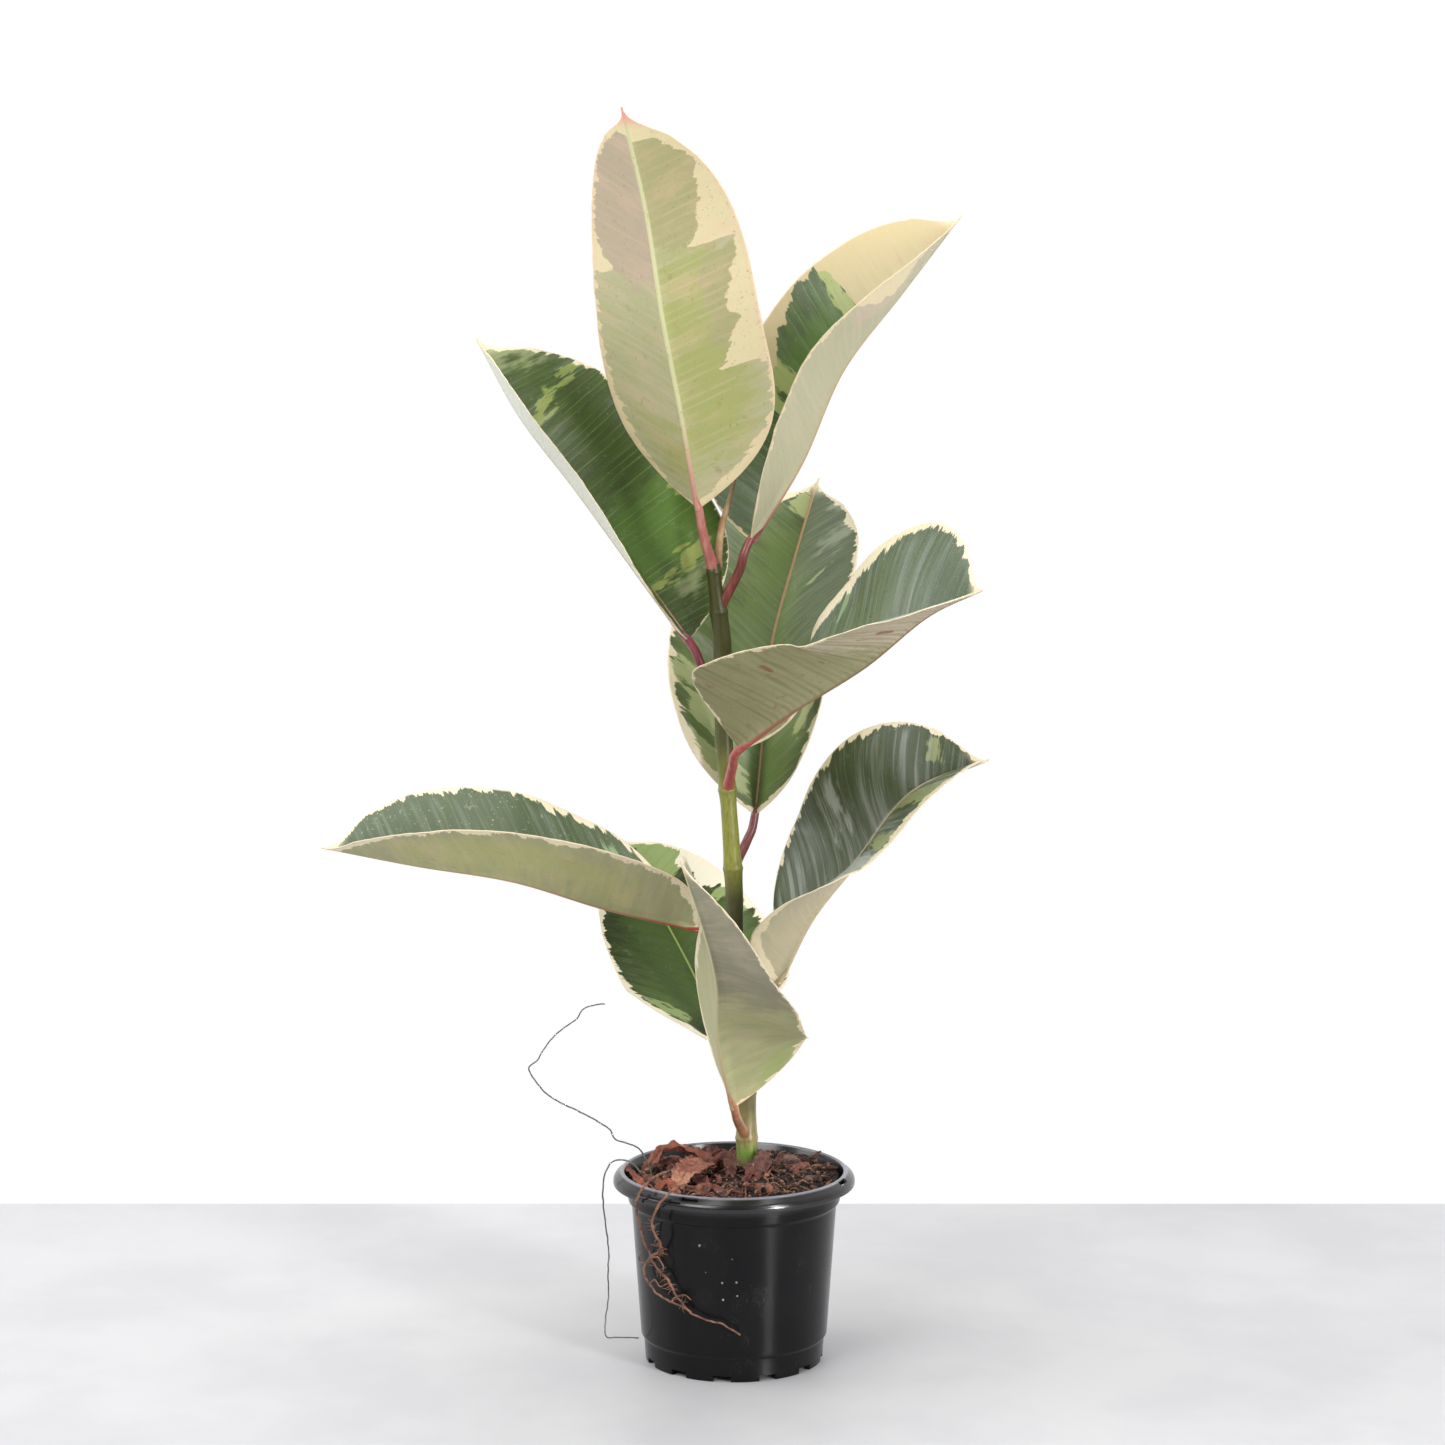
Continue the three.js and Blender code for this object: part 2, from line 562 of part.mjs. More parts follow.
function leafCurve(leaf) {
  const curve = splineOf([stemAt(leaf.node), ...leaf.way]);
  curve.arcLengthDivisions = LEAF_CURVE_PARTS;
  return curve;
}

// Share of the whole way, from the stem to the tip, that is stalk
function stalkShare(curve) {
  const lengths = curve.getLengths(LEAF_CURVE_PARTS);
  const spans = curve.points.length - 1;
  return lengths[(LEAF_CURVE_PARTS * STALK_SPANS) / spans] / lengths[LEAF_CURVE_PARTS];
}

function makeBlade(leaf) {
  const curve = leafCurve(leaf);
  const from = stalkShare(curve);
  const length = curve.getLength() * (1 - from);
  return sheet({
    ...leaf,
    curve,
    from,
    widthAt: (share) => halfWidth(leaf, share, length),
    ridgeAt: (share) => THREE.MathUtils.lerp(...RIDGE_DEPTH, share),
  }, BLADE_COLUMNS, BLADE_ROWS, BLADE_THICKNESS);
}

function makeStalk(leaf, stemWithGap) {
  const whole = leafCurve(leaf);
  const reach = stalkShare(whole) - STALK_END_GAP / whole.getLength();
  const shares = Array.from({ length: STALK_POINTS }, (unused, i) => (reach * i) / (STALK_POINTS - 1));
  const points = shares.map((share) => whole.getPointAt(share).toArray());
  const radiusAt = (share) => THREE.MathUtils.lerp(...STALK_RADII, share);
  const rod = taperedRod(splineOf(points), radiusAt, STALK_SIDES, STALK_STEPS);
  return solidOf(rod).subtract(stemWithGap);
}

// Half a scrap's width: narrower at both ends and ragged along the edges
function scrapWidth(scrap, share) {
  const swell = Math.sin(Math.PI * THREE.MathUtils.lerp(0.12, 0.88, share));
  const ragged = 1 + SCRAP_RAGGEDNESS * Math.sin(SCRAP_RAGGED_WAVES * share);
  return scrap.width * THREE.MathUtils.lerp(SCRAP_END_WIDTH, 1, swell) * ragged;
}

function makeScrap(scrap) {
  return sheet({
    ...scrap,
    curve: splineOf(scrap.points),
    from: 0,
    widthAt: (share) => scrapWidth(scrap, share),
    ridgeAt: () => SCRAP_RIB,
  }, SCRAP_COLUMNS, SCRAP_ROWS, SCRAP_THICKNESS);
}

function makeBark({ middle, half, turn }) {
  const lump = remap(new THREE.IcosahedronGeometry(1, 1), ({ x, y, z }) => {
    const knobs = BARK_ROUGHNESS[0] * Math.sin(5 * x + 1) * Math.cos(4 * y - 2);
    const rough = 1 + knobs + BARK_ROUGHNESS[1] * Math.sin(6 * z + 3 * x);
    return [x * half[0] * rough, y * half[1] * rough, z * half[2] * rough];
  });
  return lump.rotateZ(radians(turn)).translate(...middle);
}

function rootRod(points, radius, sides) {
  return evenRod(splineOf(points), radius, sides, Math.round(points.length * ROOT_STEPS_PER_POINT));
}

function makeBrownRoots() {
  const longRoots = [LONG_ROOT_LEFT, LONG_ROOT_RIGHT].map((points) => (
    solidOf(rootRod(points, BROWN_ROOT_RADIUS, LONG_ROOT_SIDES))
  ));
  const rootlets = ROOTLETS.map((points) => (
    solidOf(evenRod(splineOf(points), BROWN_ROOTLET_RADIUS, FINE_ROOT_SIDES, ROOTLET_STEPS))
  ));
  return [...longRoots, ...rootlets].reduce((joined, root) => joined.add(root));
}

function makeSheath() {
  const radii = SHEATH_RADII.map((radius, i) => [i / (SHEATH_RADII.length - 1), radius]);
  return taperedRod(splineOf(SHEATH_POINTS), (share) => between(radii, share), SHEATH_SIDES, SHEATH_STEPS);
}

const plant = new THREE.Group();

function add(name, geometry, colour, roughness) {
  const material = new THREE.MeshStandardMaterial({ color: colour, roughness, metalness: 0 });
  const mesh = new THREE.Mesh(geometry, material);
  mesh.name = name;
  plant.add(mesh);
}

// Everything that rises from the soil or lies on it is cut a little clear of it
const soilWithGap = soilBody(TOUCH_GAP, TOUCH_GAP);
const clearOfSoil = (geometry) => geometryOf(solidOf(geometry).subtract(soilWithGap));

add('pot', geometryOf(makePot()), COLOURS.pot, 0.4);
add('soil', geometryOf(makeSoil()), COLOURS.soil, 0.95);
add('stem', weld(stemRod(0)), COLOURS.stem, 0.5);

add('bud_sheath', weld(makeSheath()), COLOURS.sheath, 0.6);

const stemWithGap = solidOf(stemRod(TOUCH_GAP));
Object.entries(LEAVES).forEach(([name, leaf]) => {
  add(name, weld(makeBlade(leaf)), COLOURS.green, 0.4);
  add(name.replace('leaf', 'stalk'), geometryOf(makeStalk(leaf, stemWithGap)), COLOURS.stalk, 0.45);
});

add('brown_roots', geometryOf(makeBrownRoots().subtract(soilWithGap)), COLOURS.brown, 0.7);
for (const [name, points] of Object.entries(GREY_ROOTS)) {
  add(name, clearOfSoil(rootRod(points, GREY_ROOT_RADIUS, FINE_ROOT_SIDES)), COLOURS.grey, 0.7);
}

for (const [name, scrap] of Object.entries(SCRAPS)) {
  add(name, clearOfSoil(makeScrap(scrap)), COLOURS.brown, 0.8);
}
for (const [name, lump] of Object.entries(BARK)) {
  add(name, clearOfSoil(makeBark(lump)), COLOURS.bark, 0.9);
}
for (const [name, points] of Object.entries(TWIGS)) {
  add(name, clearOfSoil(evenRod(splineOf(points), TWIG_RADIUS, TWIG_SIDES, TWIG_STEPS)), COLOURS.twig, 0.9);
}

export default plant;
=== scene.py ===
import bisect
import math
import random

import bmesh
import bpy
from mathutils import Matrix, Vector, noise


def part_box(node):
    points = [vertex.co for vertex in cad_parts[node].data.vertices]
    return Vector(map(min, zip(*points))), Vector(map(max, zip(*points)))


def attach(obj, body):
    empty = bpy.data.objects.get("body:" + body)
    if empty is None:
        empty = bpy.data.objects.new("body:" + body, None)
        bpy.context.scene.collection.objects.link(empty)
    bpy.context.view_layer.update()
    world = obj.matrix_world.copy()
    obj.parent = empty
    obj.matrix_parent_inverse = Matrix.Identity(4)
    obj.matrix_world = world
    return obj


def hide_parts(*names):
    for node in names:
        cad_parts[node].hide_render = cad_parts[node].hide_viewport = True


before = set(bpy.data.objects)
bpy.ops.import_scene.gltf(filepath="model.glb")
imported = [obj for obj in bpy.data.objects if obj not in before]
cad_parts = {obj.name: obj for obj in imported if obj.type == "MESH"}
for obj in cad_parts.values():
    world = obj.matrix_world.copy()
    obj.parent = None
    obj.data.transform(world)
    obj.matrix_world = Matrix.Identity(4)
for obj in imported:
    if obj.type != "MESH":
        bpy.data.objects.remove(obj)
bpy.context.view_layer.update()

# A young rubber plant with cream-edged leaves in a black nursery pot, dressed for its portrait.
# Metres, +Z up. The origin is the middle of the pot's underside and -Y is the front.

MM = 0.001

# The seed of the noise by which thin strands waver
WAVER_SEED = 1
noise.seed_set(WAVER_SEED)

# The camera stands where the photograph was taken
CAMERA_PLACE = (-0.0067, -2.2, 0.6881)
CAMERA_PITCH = 8.147
CAMERA_LENS = 97.14

# The pot, from its CAD box, with the walls, foot and rim that its profile needs
POT_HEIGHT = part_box("pot")[1][2]
RIM_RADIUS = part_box("pot")[1][0]
FOOT_RADIUS = 0.0515
MOUTH_RADIUS = 0.0634
WALL = 0.0014
FOOT_HEIGHT = 0.0135
FOOT_RING_WIDTH = 0.004
FLOOR_UNDERSIDE = 0.0015
FLOOR_TOP = 0.003
FLOOR_PAD_RADIUS = 0.014
BODY_BASE_RADIUS = 0.054
BODY_TOP_RADIUS = 0.0594
BODY_BASE_HEIGHT = 0.0153
BODY_TOP_HEIGHT = 0.0925
SHOULDER_RADIUS = 0.0617
SHOULDER_HEIGHT = 0.0105
RIM_DEPTH = 0.008
SKIRT_WIDTH = 0.0015
POT_ROUNDING = 0.0007
POT_SHARP_ANGLE = 35
POT_STEPS = 180
CUT_STEPS = 10

# What is cut from the pot: drainage notches, rim slots and a ledge
NOTCH_COUNT = 12
NOTCH_START = -98
NOTCH_SPREAD = 11.5
NOTCH_HEIGHT = 0.0035
NOTCH_INNER_RADIUS = 0.044
SLOT_ANGLES = (-21, -112, 68, 157)
SLOT_SPREAD = 8.6
SLOT_RADII = (0.0655, 0.0679)
LEDGE_ANGLES = (-142, -116)
LEDGE_RADIUS = 0.068
LEDGE_TOP = 0.1076

# The pot's sheen: the heights between which the rim's gloss sets in, and those of its lip, along which a
# highlight is painted
RIM_SHEEN_HEIGHTS = (0.098, 0.104)
LIP_HIGHLIGHT_HEIGHTS = (POT_HEIGHT - 1.3 * MM, POT_HEIGHT - 0.5 * MM)

# The soil: its surface, the mound round the stem, its two slow waves and its lumps
SOIL_LEVEL = 0.1065
SOIL_RADIUS = 0.0606
SOIL_SLOPE = (0.035, 0.015)
SOIL_UNDERSIDE = 0.092
SOIL_UNDERSIDE_SHARE = 0.96
SOIL_CELLS = 110
MOUND_HEIGHT = 0.0045
MOUND_SPREAD = 0.012
MOUND_PLACE = (0.0075, 0.014)
BROAD_WAVE_HEIGHT = 0.0008
SLANT_WAVE_HEIGHT = 0.0005
LUMP_HEIGHT = 0.0018
LUMP_SCALE = 160

# The stem: points up its middle, and its radius by height
STEM_POINTS = [
    (0.0075, 0.014, 0.062), (0.0075, 0.014, 0.09), (0.0075, 0.014, 0.112), (0.007, 0.0135, 0.149),
    (0.005, 0.012, 0.197), (0.0005, 0.0105, 0.245), (0, 0.01, 0.274), (-0.002, 0.009, 0.307),
    (-0.005, 0.007, 0.35), (-0.0065, 0.006, 0.385), (-0.007, 0.005, 0.419), (-0.011, 0.004, 0.452),
    (-0.012, 0.004, 0.464),
]
STEM_RADII = [
    (0.062, 0.0056), (0.112, 0.0061), (0.149, 0.0056), (0.245, 0.0053), (0.29, 0.005), (0.326, 0.0046),
    (0.385, 0.0051), (0.419, 0.0053), (0.452, 0.004), (0.464, 0.0036),
]
STEM_SAMPLES = 400
STEM_STEPS = 420
STEM_SIDES = 32
# How far each joint stands out, and over what height: its ring, and the swelling about it
JOINT_BULGES = ((0.00045, 0.0011), (0.0005, 0.006))

# The blade: its thickness, the midrib's ridge, and the drawn-out tip
BLADE_THICKNESS = 0.0008
EDGE_THICKNESS = 0.0005
EDGE_POWER = 8
RIDGE_DEPTH = (0.00306, 0.00027)
RIDGE_HALF_WIDTH = 0.0024
RIDGE_WIDEST_SHARE = 0.8
GROOVE_DEPTH = 0.0003
GROOVE_HALF_WIDTH = 0.0012
BLADE_CURL = math.radians(-8)
DRIP_TIP = 0.011
TIP_REACH = 0.02
TIP_HOLLOW = 0.9
BASE_HALF_WIDTH = 0.0022
BASE_SHARE = 0.1
LEAST_HALF_WIDTH = 0.0005
ROW_EVENNESS = 0.45
LEAF_CURVE_PARTS = 240
BLADE_ROWS = 150
RIB_COLUMNS = 4
HALF_COLUMNS = 17
RIM_COLUMN = 0.985

# The unevenness of a blade: the swell between its side veins, and the waves in its margin
SWELL_HEIGHT = 0.00011
SWELL_SPACING = 0.0095
SWELL_CHANGE_SCALE = 40
MARGIN_WAVE_HEIGHT = 0.0008
MARGIN_WAVES = 9
RIPPLE_EASE = 0.006
RIPPLE_END_SHARE = 0.08

# The leafstalk: radii at the stem and at the blade, and the tail that runs out under the midrib
STALK_SPANS = 2
STALK_BEND_SHARE = 0.55
STALK_EASE = 0.55
STALK_RADII = (0.0031, 0.0024)
STALK_TAIL = 0.014
STALK_TAIL_RADIUS = 0.0007
STALK_FOOT_SWELL = 0.0007
STALK_FOOT_REACH = 0.006
STALK_STEPS = 44
STALK_SIDES = 20

# Each leaf: the height on the stem where its stalk leaves; the way, which is a point on the stalk,
# the blade's base, three points on the midrib and the tip; the direction that its upper side
# faces; the turn about the midrib, the upward fold of each half and the lean of its side veins,
# in degrees at the base, middle and tip; half its width; and how far along it is widest.
LEAVES = {
    "leaf_1": dict(
        node=0.459,
        way=[
            (-0.019, -0.004, 0.482), (-0.02, -0.008, 0.496), (-0.029, -0.026, 0.551),
            (-0.039, -0.043, 0.605), (-0.048, -0.051, 0.663), (-0.061, -0.066, 0.719),
        ],
        faces=(0, 1, 0.2), twist=(-23, -32, -45), fold=(18, 14, 15),
        lean=(1, 0, -2), width=0.056, widest=0.42,
    ),
    "leaf_2": dict(
        node=0.436,
        way=[
            (0.005, 0.001, 0.46), (0.009, 0.005, 0.477), (0.037, 0.03, 0.52), (0.061, 0.036, 0.572),
            (0.095, 0.036, 0.616), (0.129, 0.035, 0.66),
        ],
        faces=(-0.8, -0.3, 0.5), twist=(-2, 2, 4), fold=(34, 43, 24),
        lean=(-8, -4, -4), width=0.0575, widest=0.36,
        belly=dict(depth=0.005, at=0.72, spread=0.12),
    ),
    "leaf_3": dict(
        node=0.383,
        way=[
            (-0.02, 0.006, 0.406), (-0.026, 0.012, 0.419), (-0.058, 0.028, 0.461),
            (-0.09, 0.033, 0.504), (-0.122, 0.031, 0.546), (-0.147, 0.037, 0.59),
        ],
        faces=(0.7, -0.5, 0.5), twist=(-8, -2, 6), fold=(35, 41, 32),
        lean=(-9, 3, -4), width=0.06, widest=0.36,
    ),
    "leaf_4": dict(
        node=0.287,
        way=[
            (0.009, 0.026, 0.299), (0.012, 0.027, 0.315), (0.017, 0.034, 0.364), (0.022, 0.055, 0.411),
            (0.035, 0.08, 0.457), (0.05, 0.1, 0.505),
        ],
        faces=(0, -1, 0.3), twist=(-15, -24, -37), fold=(47, 29, 13),
        lean=(-2, 4, -5), width=0.06, widest=0.48,
    ),
    "leaf_5": dict(
        node=0.333,
        way=[
            (-0.002, -0.01, 0.35), (0.003, -0.028, 0.362), (0.032, -0.057, 0.389),
            (0.071, -0.074, 0.416), (0.104, -0.098, 0.446), (0.132, -0.133, 0.464),
        ],
        faces=(-0.6, -0.1, 0.8), twist=(-61, -4, 9), fold=(31, 36, 31),
        lean=(-7, 1, 8), width=0.062, widest=0.33,
    ),
    "leaf_6": dict(
        node=0.193,
        way=[
            (0.015, 0, 0.207), (0.024, -0.002, 0.222), (0.043, 0, 0.26), (0.071, 0.005, 0.294),
            (0.102, 0.013, 0.331), (0.148, 0.039, 0.346),
        ],
        faces=(-0.6, -0.5, 0.6), twist=(-64, -11, 8), fold=(30, 22, 42),
        lean=(3, -12, -6), width=0.057, widest=0.36,
    ),
    "leaf_7": dict(
        node=0.236,
        way=[
            (-0.01, -0.006, 0.249), (-0.02, -0.012, 0.257), (-0.072, -0.032, 0.273),
            (-0.123, -0.048, 0.291), (-0.178, -0.05, 0.3), (-0.231, -0.05, 0.31),
        ],
        faces=(0.1, -0.3, 1), twist=(17, 11, 4), fold=(28, 43, 34),
        lean=(-6, -4, -7), width=0.057, widest=0.36,
    ),
    "leaf_8": dict(
        node=0.127,
        way=[
            (0.001, -0.003, 0.14), (0, -0.026, 0.155), (-0.008, -0.049, 0.202), (-0.009, -0.085, 0.24),
            (-0.016, -0.123, 0.277), (-0.029, -0.144, 0.32),
        ],
        faces=(0, 1, 0.3), twist=(-32, -58, -74), fold=(39, 22, 10),
        lean=(3, 13, 4), width=0.055, widest=0.42,
    ),
    "leaf_9": dict(
        node=0.154,
        way=[
            (0.001, 0.024, 0.166), (-0.004, 0.024, 0.177), (-0.016, 0.062, 0.197),
            (-0.031, 0.095, 0.221), (-0.051, 0.118, 0.252), (-0.074, 0.133, 0.286),
        ],
        faces=(0.2, -0.8, 0.6), twist=(-6, 9, 33), fold=(28, 15, 13),
        lean=(3, -1, -1), width=0.0555, widest=0.41,
    ),
}

# The variegation of each leaf. "slant" says how far the side veins of the right and of the left
# half run towards the tip for each step away from the midrib. The cream margin of either half is
# given as its depth at shares of the blade's length, read along the veins. A patch is its place
# along the blade, its place across from -1 to 1 (right is positive), its half length and its half
# breadth. The last entries are the colours and finishes in which this leaf differs from its fellows.
MARKINGS = {
    "leaf_1": dict(
        slant=(0.35, 0.35),
        right=[
            (0, .003), (.05, .003), (.08, .007), (.11, .008), (.14, .004), (.165, .006), (.175, .011),
            (.185, .004), (.25, .004), (.3, .003), (.35, .0015), (.45, .0018), (.5, .0025), (.53, .002),
            (.54, .02), (.57, .013), (.6, .004), (.7, .003), (.8, .0022), (.88, .003), (.92, .01),
            (.94, .06),
        ],
        left=[
            (0, .008), (.05, .008), (.1, .006), (.15, .0015), (.2, .002), (.27, .0035), (.3, .005),
            (.31, .032), (.35, .022), (.4, .015), (.43, .013), (.45, .02), (.5, .0146), (.57, .007),
            (.605, .006), (.62, .036), (.65, .026), (.7, .022), (.75, .014), (.8, .0055), (.87, .008),
            (.9, .012), (.935, .06),
        ],
        light=[(.78, -.5, .15, .6), (.47, -.75, .13, .3)],
        fresh=[(.36, -.3, .26, .45), (.12, .3, .05, .3)],
        grey=[(.79, .5, .25, .6)],
        under_finish=dict(specks=0.5, blush=0.28, vein_strength=0.4, vein_width=0.0013),
        under=dict(
            deep="#b3b18a", fresh="#a6aa68", light="#a9a575", grey="#b3a48b", cream="#ddd1a4",
            peach="#e6c0a6", vein="#c8b999", rib="#cfcf9f", foot="#c98a80", tip="#e29a90",
        ),
    ),
    "leaf_2": dict(
        slant=(0.35, 0.35),
        right=[
            (0, .0015), (.3, .002), (.58, .002), (.62, .006), (.64, .014), (.7, .022), (.76, .018),
            (.8, .008), (.85, .003), (.93, .004), (.96, .03),
        ],
        left=[
            (0, .003), (.3, .004), (.37, .006), (.385, .02), (.42, .018), (.46, .012), (.5, .004),
            (.57, .004), (.6, .0045), (.615, .012), (.63, .03), (.65, .07), (1, .07),
        ],
        light=[(.61, -.6, .02, .45), (.39, -.6, .025, .4), (.34, -.5, .02, .2)],
        fresh=[(.5, -.3, .12, .35)],
        grey=[(.75, .75, .2, .3)],
        upper=dict(deep="#44562a", fresh="#577332", light="#a3ac68", cream="#c8b78a", peach="#cfb48e"),
        under=dict(deep="#b9b695", fresh="#bfb79b", grey="#c6b8a0", cream="#e2d5ac"),
    ),
    "leaf_3": dict(
        slant=(0.0, 0.35),
        right=[
            (0, .001), (.3, .001), (.33, .004), (.36, .001), (.78, .001), (.8, .004), (.82, .001),
            (.9, .003), (.95, .006), (1, .01),
        ],
        left=[(0, .003), (.2, .002), (.5, .003), (.8, .002), (.95, .006)],
        light=[
            (.725, .15, .015, .15), (.745, .35, .018, .2), (.77, .6, .014, .2), (.8, .85, .012, .25),
            (.35, .88, .02, .12), (.165, .15, .012, .12), (.18, .38, .016, .2), (.2, .6, .014, .2),
        ],
        # The bright green fresh band partly paints light shining through the blade
        fresh=[(.29, .4, .12, .7)],
        grey=[(.125, .4, .012, .15), (.145, .62, .014, .18), (.95, .5, .06, .7)],
        upper=dict(deep="#435226", fresh="#53702b", light="#8f9a52", grey="#8b9468", vein="#769052"),
        upper_finish=dict(vein_spacing=0.0038, vein_strength=0.6, relief=0.06, bloom=0.05),
        under=dict(deep="#d9dccf", fresh="#d9dccf", light="#dfe2d2", grey="#d2d4c6", cream="#ece4c4"),
    ),
    "leaf_4": dict(
        slant=(0.5, 0.55),
        right=[
            (0, .003), (.15, .0015), (.25, .002), (.6, .0015), (.72, .002), (.76, .006), (.8, .005),
            (.86, .006), (.9, .004), (1, .003),
        ],
        left=[
            (0, .006), (.05, .005), (.1, .003), (.125, .005), (.15, .003), (.2, .003), (.235, .003),
            (.25, .006), (.265, .0025), (.3, .004), (.35, .005), (.4, .003), (.45, .0015), (.82, .0015),
            (.84, .006), (.86, .013), (.9, .015), (.92, .005), (1, .003),
        ],
        light=[
            (.228, -.8, .03, .24), (.165, -.58, .033, .27), (.058, -.6, .032, .4),
            (.9, -.2, .035, .3), (.6, .48, .015, .13), (.17, .78, .04, .14),
        ],
        fresh=[(.45, -.15, .4, .3), (.4, .12, .35, .2), (.2, -.4, .24, .5), (.14, .4, .22, .5)],
        grey=[(.72, .65, .025, .25), (.84, .85, .03, .2), (.32, -.6, .015, .2)],
        upper=dict(
            deep="#4f5c3a", fresh="#657943", light="#a3ab76", grey="#8f967c", rib="#b5906a", foot="#c09a86",
        ),
        upper_finish=dict(vein_spacing=0.0036, vein_strength=0.3, relief=0.12, bloom=0.3),
    ),
    "leaf_5": dict(
        slant=(-0.1, 0.7),
        right=[(0, .003), (.1, .0015), (.9, .0015), (.96, .005)],
        left=[
            (0, .005), (.1, .006), (.2, .008), (.3, .008), (.4, .005), (.5, .0055), (.55, .003),
            (.65, .003), (.72, .0025), (.8, .004), (.83, .008), (.85, .003), (.95, .006), (1, .01),
        ],
        light=[(.3, -.85, .02, .15)],
        fresh=[(.35, -.4, .25, .25)],
        # On the upper side these grey patches are a painted sheen of reflected light; underneath they give
        # the blade's own pinkish tan
        grey=[(.8, .5, .24, .8), (.56, .8, .06, .25)],
        spot=[
            (.67, .3, .009, .1), (.63, .47, .0016, .07), (.45, .45, .0016, .06), (.33, .62, .0018, .07),
            (.32, .42, .0016, .05), (.87, .3, .003, .3),
        ],
        upper=dict(deep="#54624a", fresh="#5d6c48", light="#8ba077", grey="#98a198", vein="#8c9b84"),
        # The dark, broad vein lines underneath are partly the blade's own darker olive and partly painted
        # shade in the furrows between the side veins
        under=dict(
            deep="#94926c", fresh="#9d9c72", light="#a5a77c", grey="#b9ac93", vein="#716d4c", rib="#857052",
            foot="#a85c4e", speck="#86513f",
        ),
        upper_finish=dict(bloom=0.45, relief=0.1, roughness=0.3),
        under_finish=dict(
            relief=-0.4, vein_strength=0.5, vein_width=0.002, specks=0.8, vein_spacing=0.0046, blush=0.1,
        ),
    ),
    "leaf_6": dict(
        slant=(0.35, 0.8),
        right=[
            (0, .009), (.05, .012), (.12, .008), (.2, .005), (.35, .005), (.5, .006), (.6, .008),
            (.7, .004), (.8, .008), (.85, .004), (1, .006),
        ],
        left=[
            (0, .0015), (.3, .0015), (.5, .002), (.55, .004), (.58, .006), (.6, .002), (.63, .002),
            (.65, .008), (.67, .003), (.7, .002), (.74, .001), (.76, .004), (.85, .004), (.95, .005),
            (1, .006),
        ],
        light=[(.66, .5, .04, .6), (.5, .5, .03, .4), (.78, -.45, .03, .25)],
        fresh=[(.75, .2, .2, .3)],
        # The second grey patch is a painted sheen: a streaky band of reflected light
        grey=[(.4, .5, .07, .6), (.43, -.55, .035, .22)],
        upper=dict(
            deep="#475138", fresh="#505e38", light="#8f9766", grey="#a3a8a0", vein="#8f9c84", rib="#b4a487",
        ),
        under=dict(
            deep="#b8ae8f", fresh="#b8ae8f", light="#b5ae88", grey="#baad96", cream="#e4d9b6", rib="#b8aa8a",
            foot="#bfae8c",
        ),
        upper_finish=dict(relief=0.4, roughness=0.32, vein_spacing=0.0062, vein_strength=0.25, bloom=0.6),
    ),
    "leaf_7": dict(
        slant=(0.7, 0.35),
        right=[
            (0, .003), (.05, .003), (.1, .003), (.2, .0035), (.3, .0035), (.34, .0015), (.4, .001),
            (.55, .001), (.6, .003), (.65, .0012), (.75, .0025), (.82, .0025), (1, .003),
        ],
        left=[
            (0, .008), (.05, .01), (.1, .004), (.3, .0035), (.6, .0035), (.8, .004), (.9, .01),
            (1, .012),
        ],
        light=[(.12, .5, .03, .3)],
        fresh=[(.5, -.45, .3, .3), (.3, .2, .25, .2)],
        upper=dict(deep="#505e40", fresh="#55653b", light="#8ba077", grey="#8e998a", vein="#8f9c80"),
        under=dict(
            deep="#9c9d76", fresh="#a8a86f", light="#b0ac84", grey="#b3a888", peach="#dcc2a0",
            rib="#a98262", foot="#a04030", speck="#94665a",
        ),
        upper_finish=dict(specks=0.4, vein_spacing=0.0085, vein_strength=0.3, bloom=0.4),
        under_finish=dict(vein_strength=0.1, specks=0.6, blush=0.25),
    ),
    "leaf_8": dict(
        slant=(0.35, 0.35),
        right=[(0, .004), (.3, .0045), (.6, .006), (.8, .005), (1, .006)],
        left=[(0, .0012), (.5, .0012), (.9, .0025), (1, .006)],
        light=[(.06, -.82, .06, .2)],
        fresh=[(.76, -.5, .34, 1)],
        grey=[(.5, .5, .6, 1)],
        under=dict(
            deep="#a3a576", fresh="#88866c", light="#98a269", grey="#aaaa80", vein="#b1b08c", rib="#bcb78c",
            foot="#b59a74",
        ),
        under_finish=dict(rib_width=0.0013),
    ),
    "leaf_9": dict(
        slant=(0.35, 0.35),
        right=[
            (0, .003), (.3, .003), (.42, .004), (.5, .004), (.54, .006), (.57, .005), (.6, .008),
            (.62, .016), (.66, .02), (.7, .02), (.74, .018), (.765, .014), (.775, .004), (.85, .003),
            (.95, .008), (1, .01),
        ],
        left=[
            (0, .006), (.05, .006), (.1, .003), (.15, .002), (.2, .001), (.4, .0008), (.5, .0015),
            (.55, .003), (.65, .005), (.7, .005), (.8, .004), (1, .005),
        ],
        light=[
            (.86, .6, .125, .45), (.58, .78, .025, .15), (.5, .85, .02, .12), (.09, -.7, .03, .22),
        ],
        fresh=[(.4, -.3, .3, .4), (.3, .5, .3, .4), (.5, .12, .12, .16)],
        # The deep green is darkened partly to paint the shade that falls on this low leaf
        upper=dict(
            deep="#2b3410", fresh="#43591f", light="#84945c", cream="#d9d5c0", vein="#556e38",
            rib="#8fa05a",
        ),
        upper_finish=dict(
            gloss=0.2, roughness=0.45, relief=0.12, vein_strength=0.25, rib_width=0.0009, bloom=0.05,
        ),
    ),
}

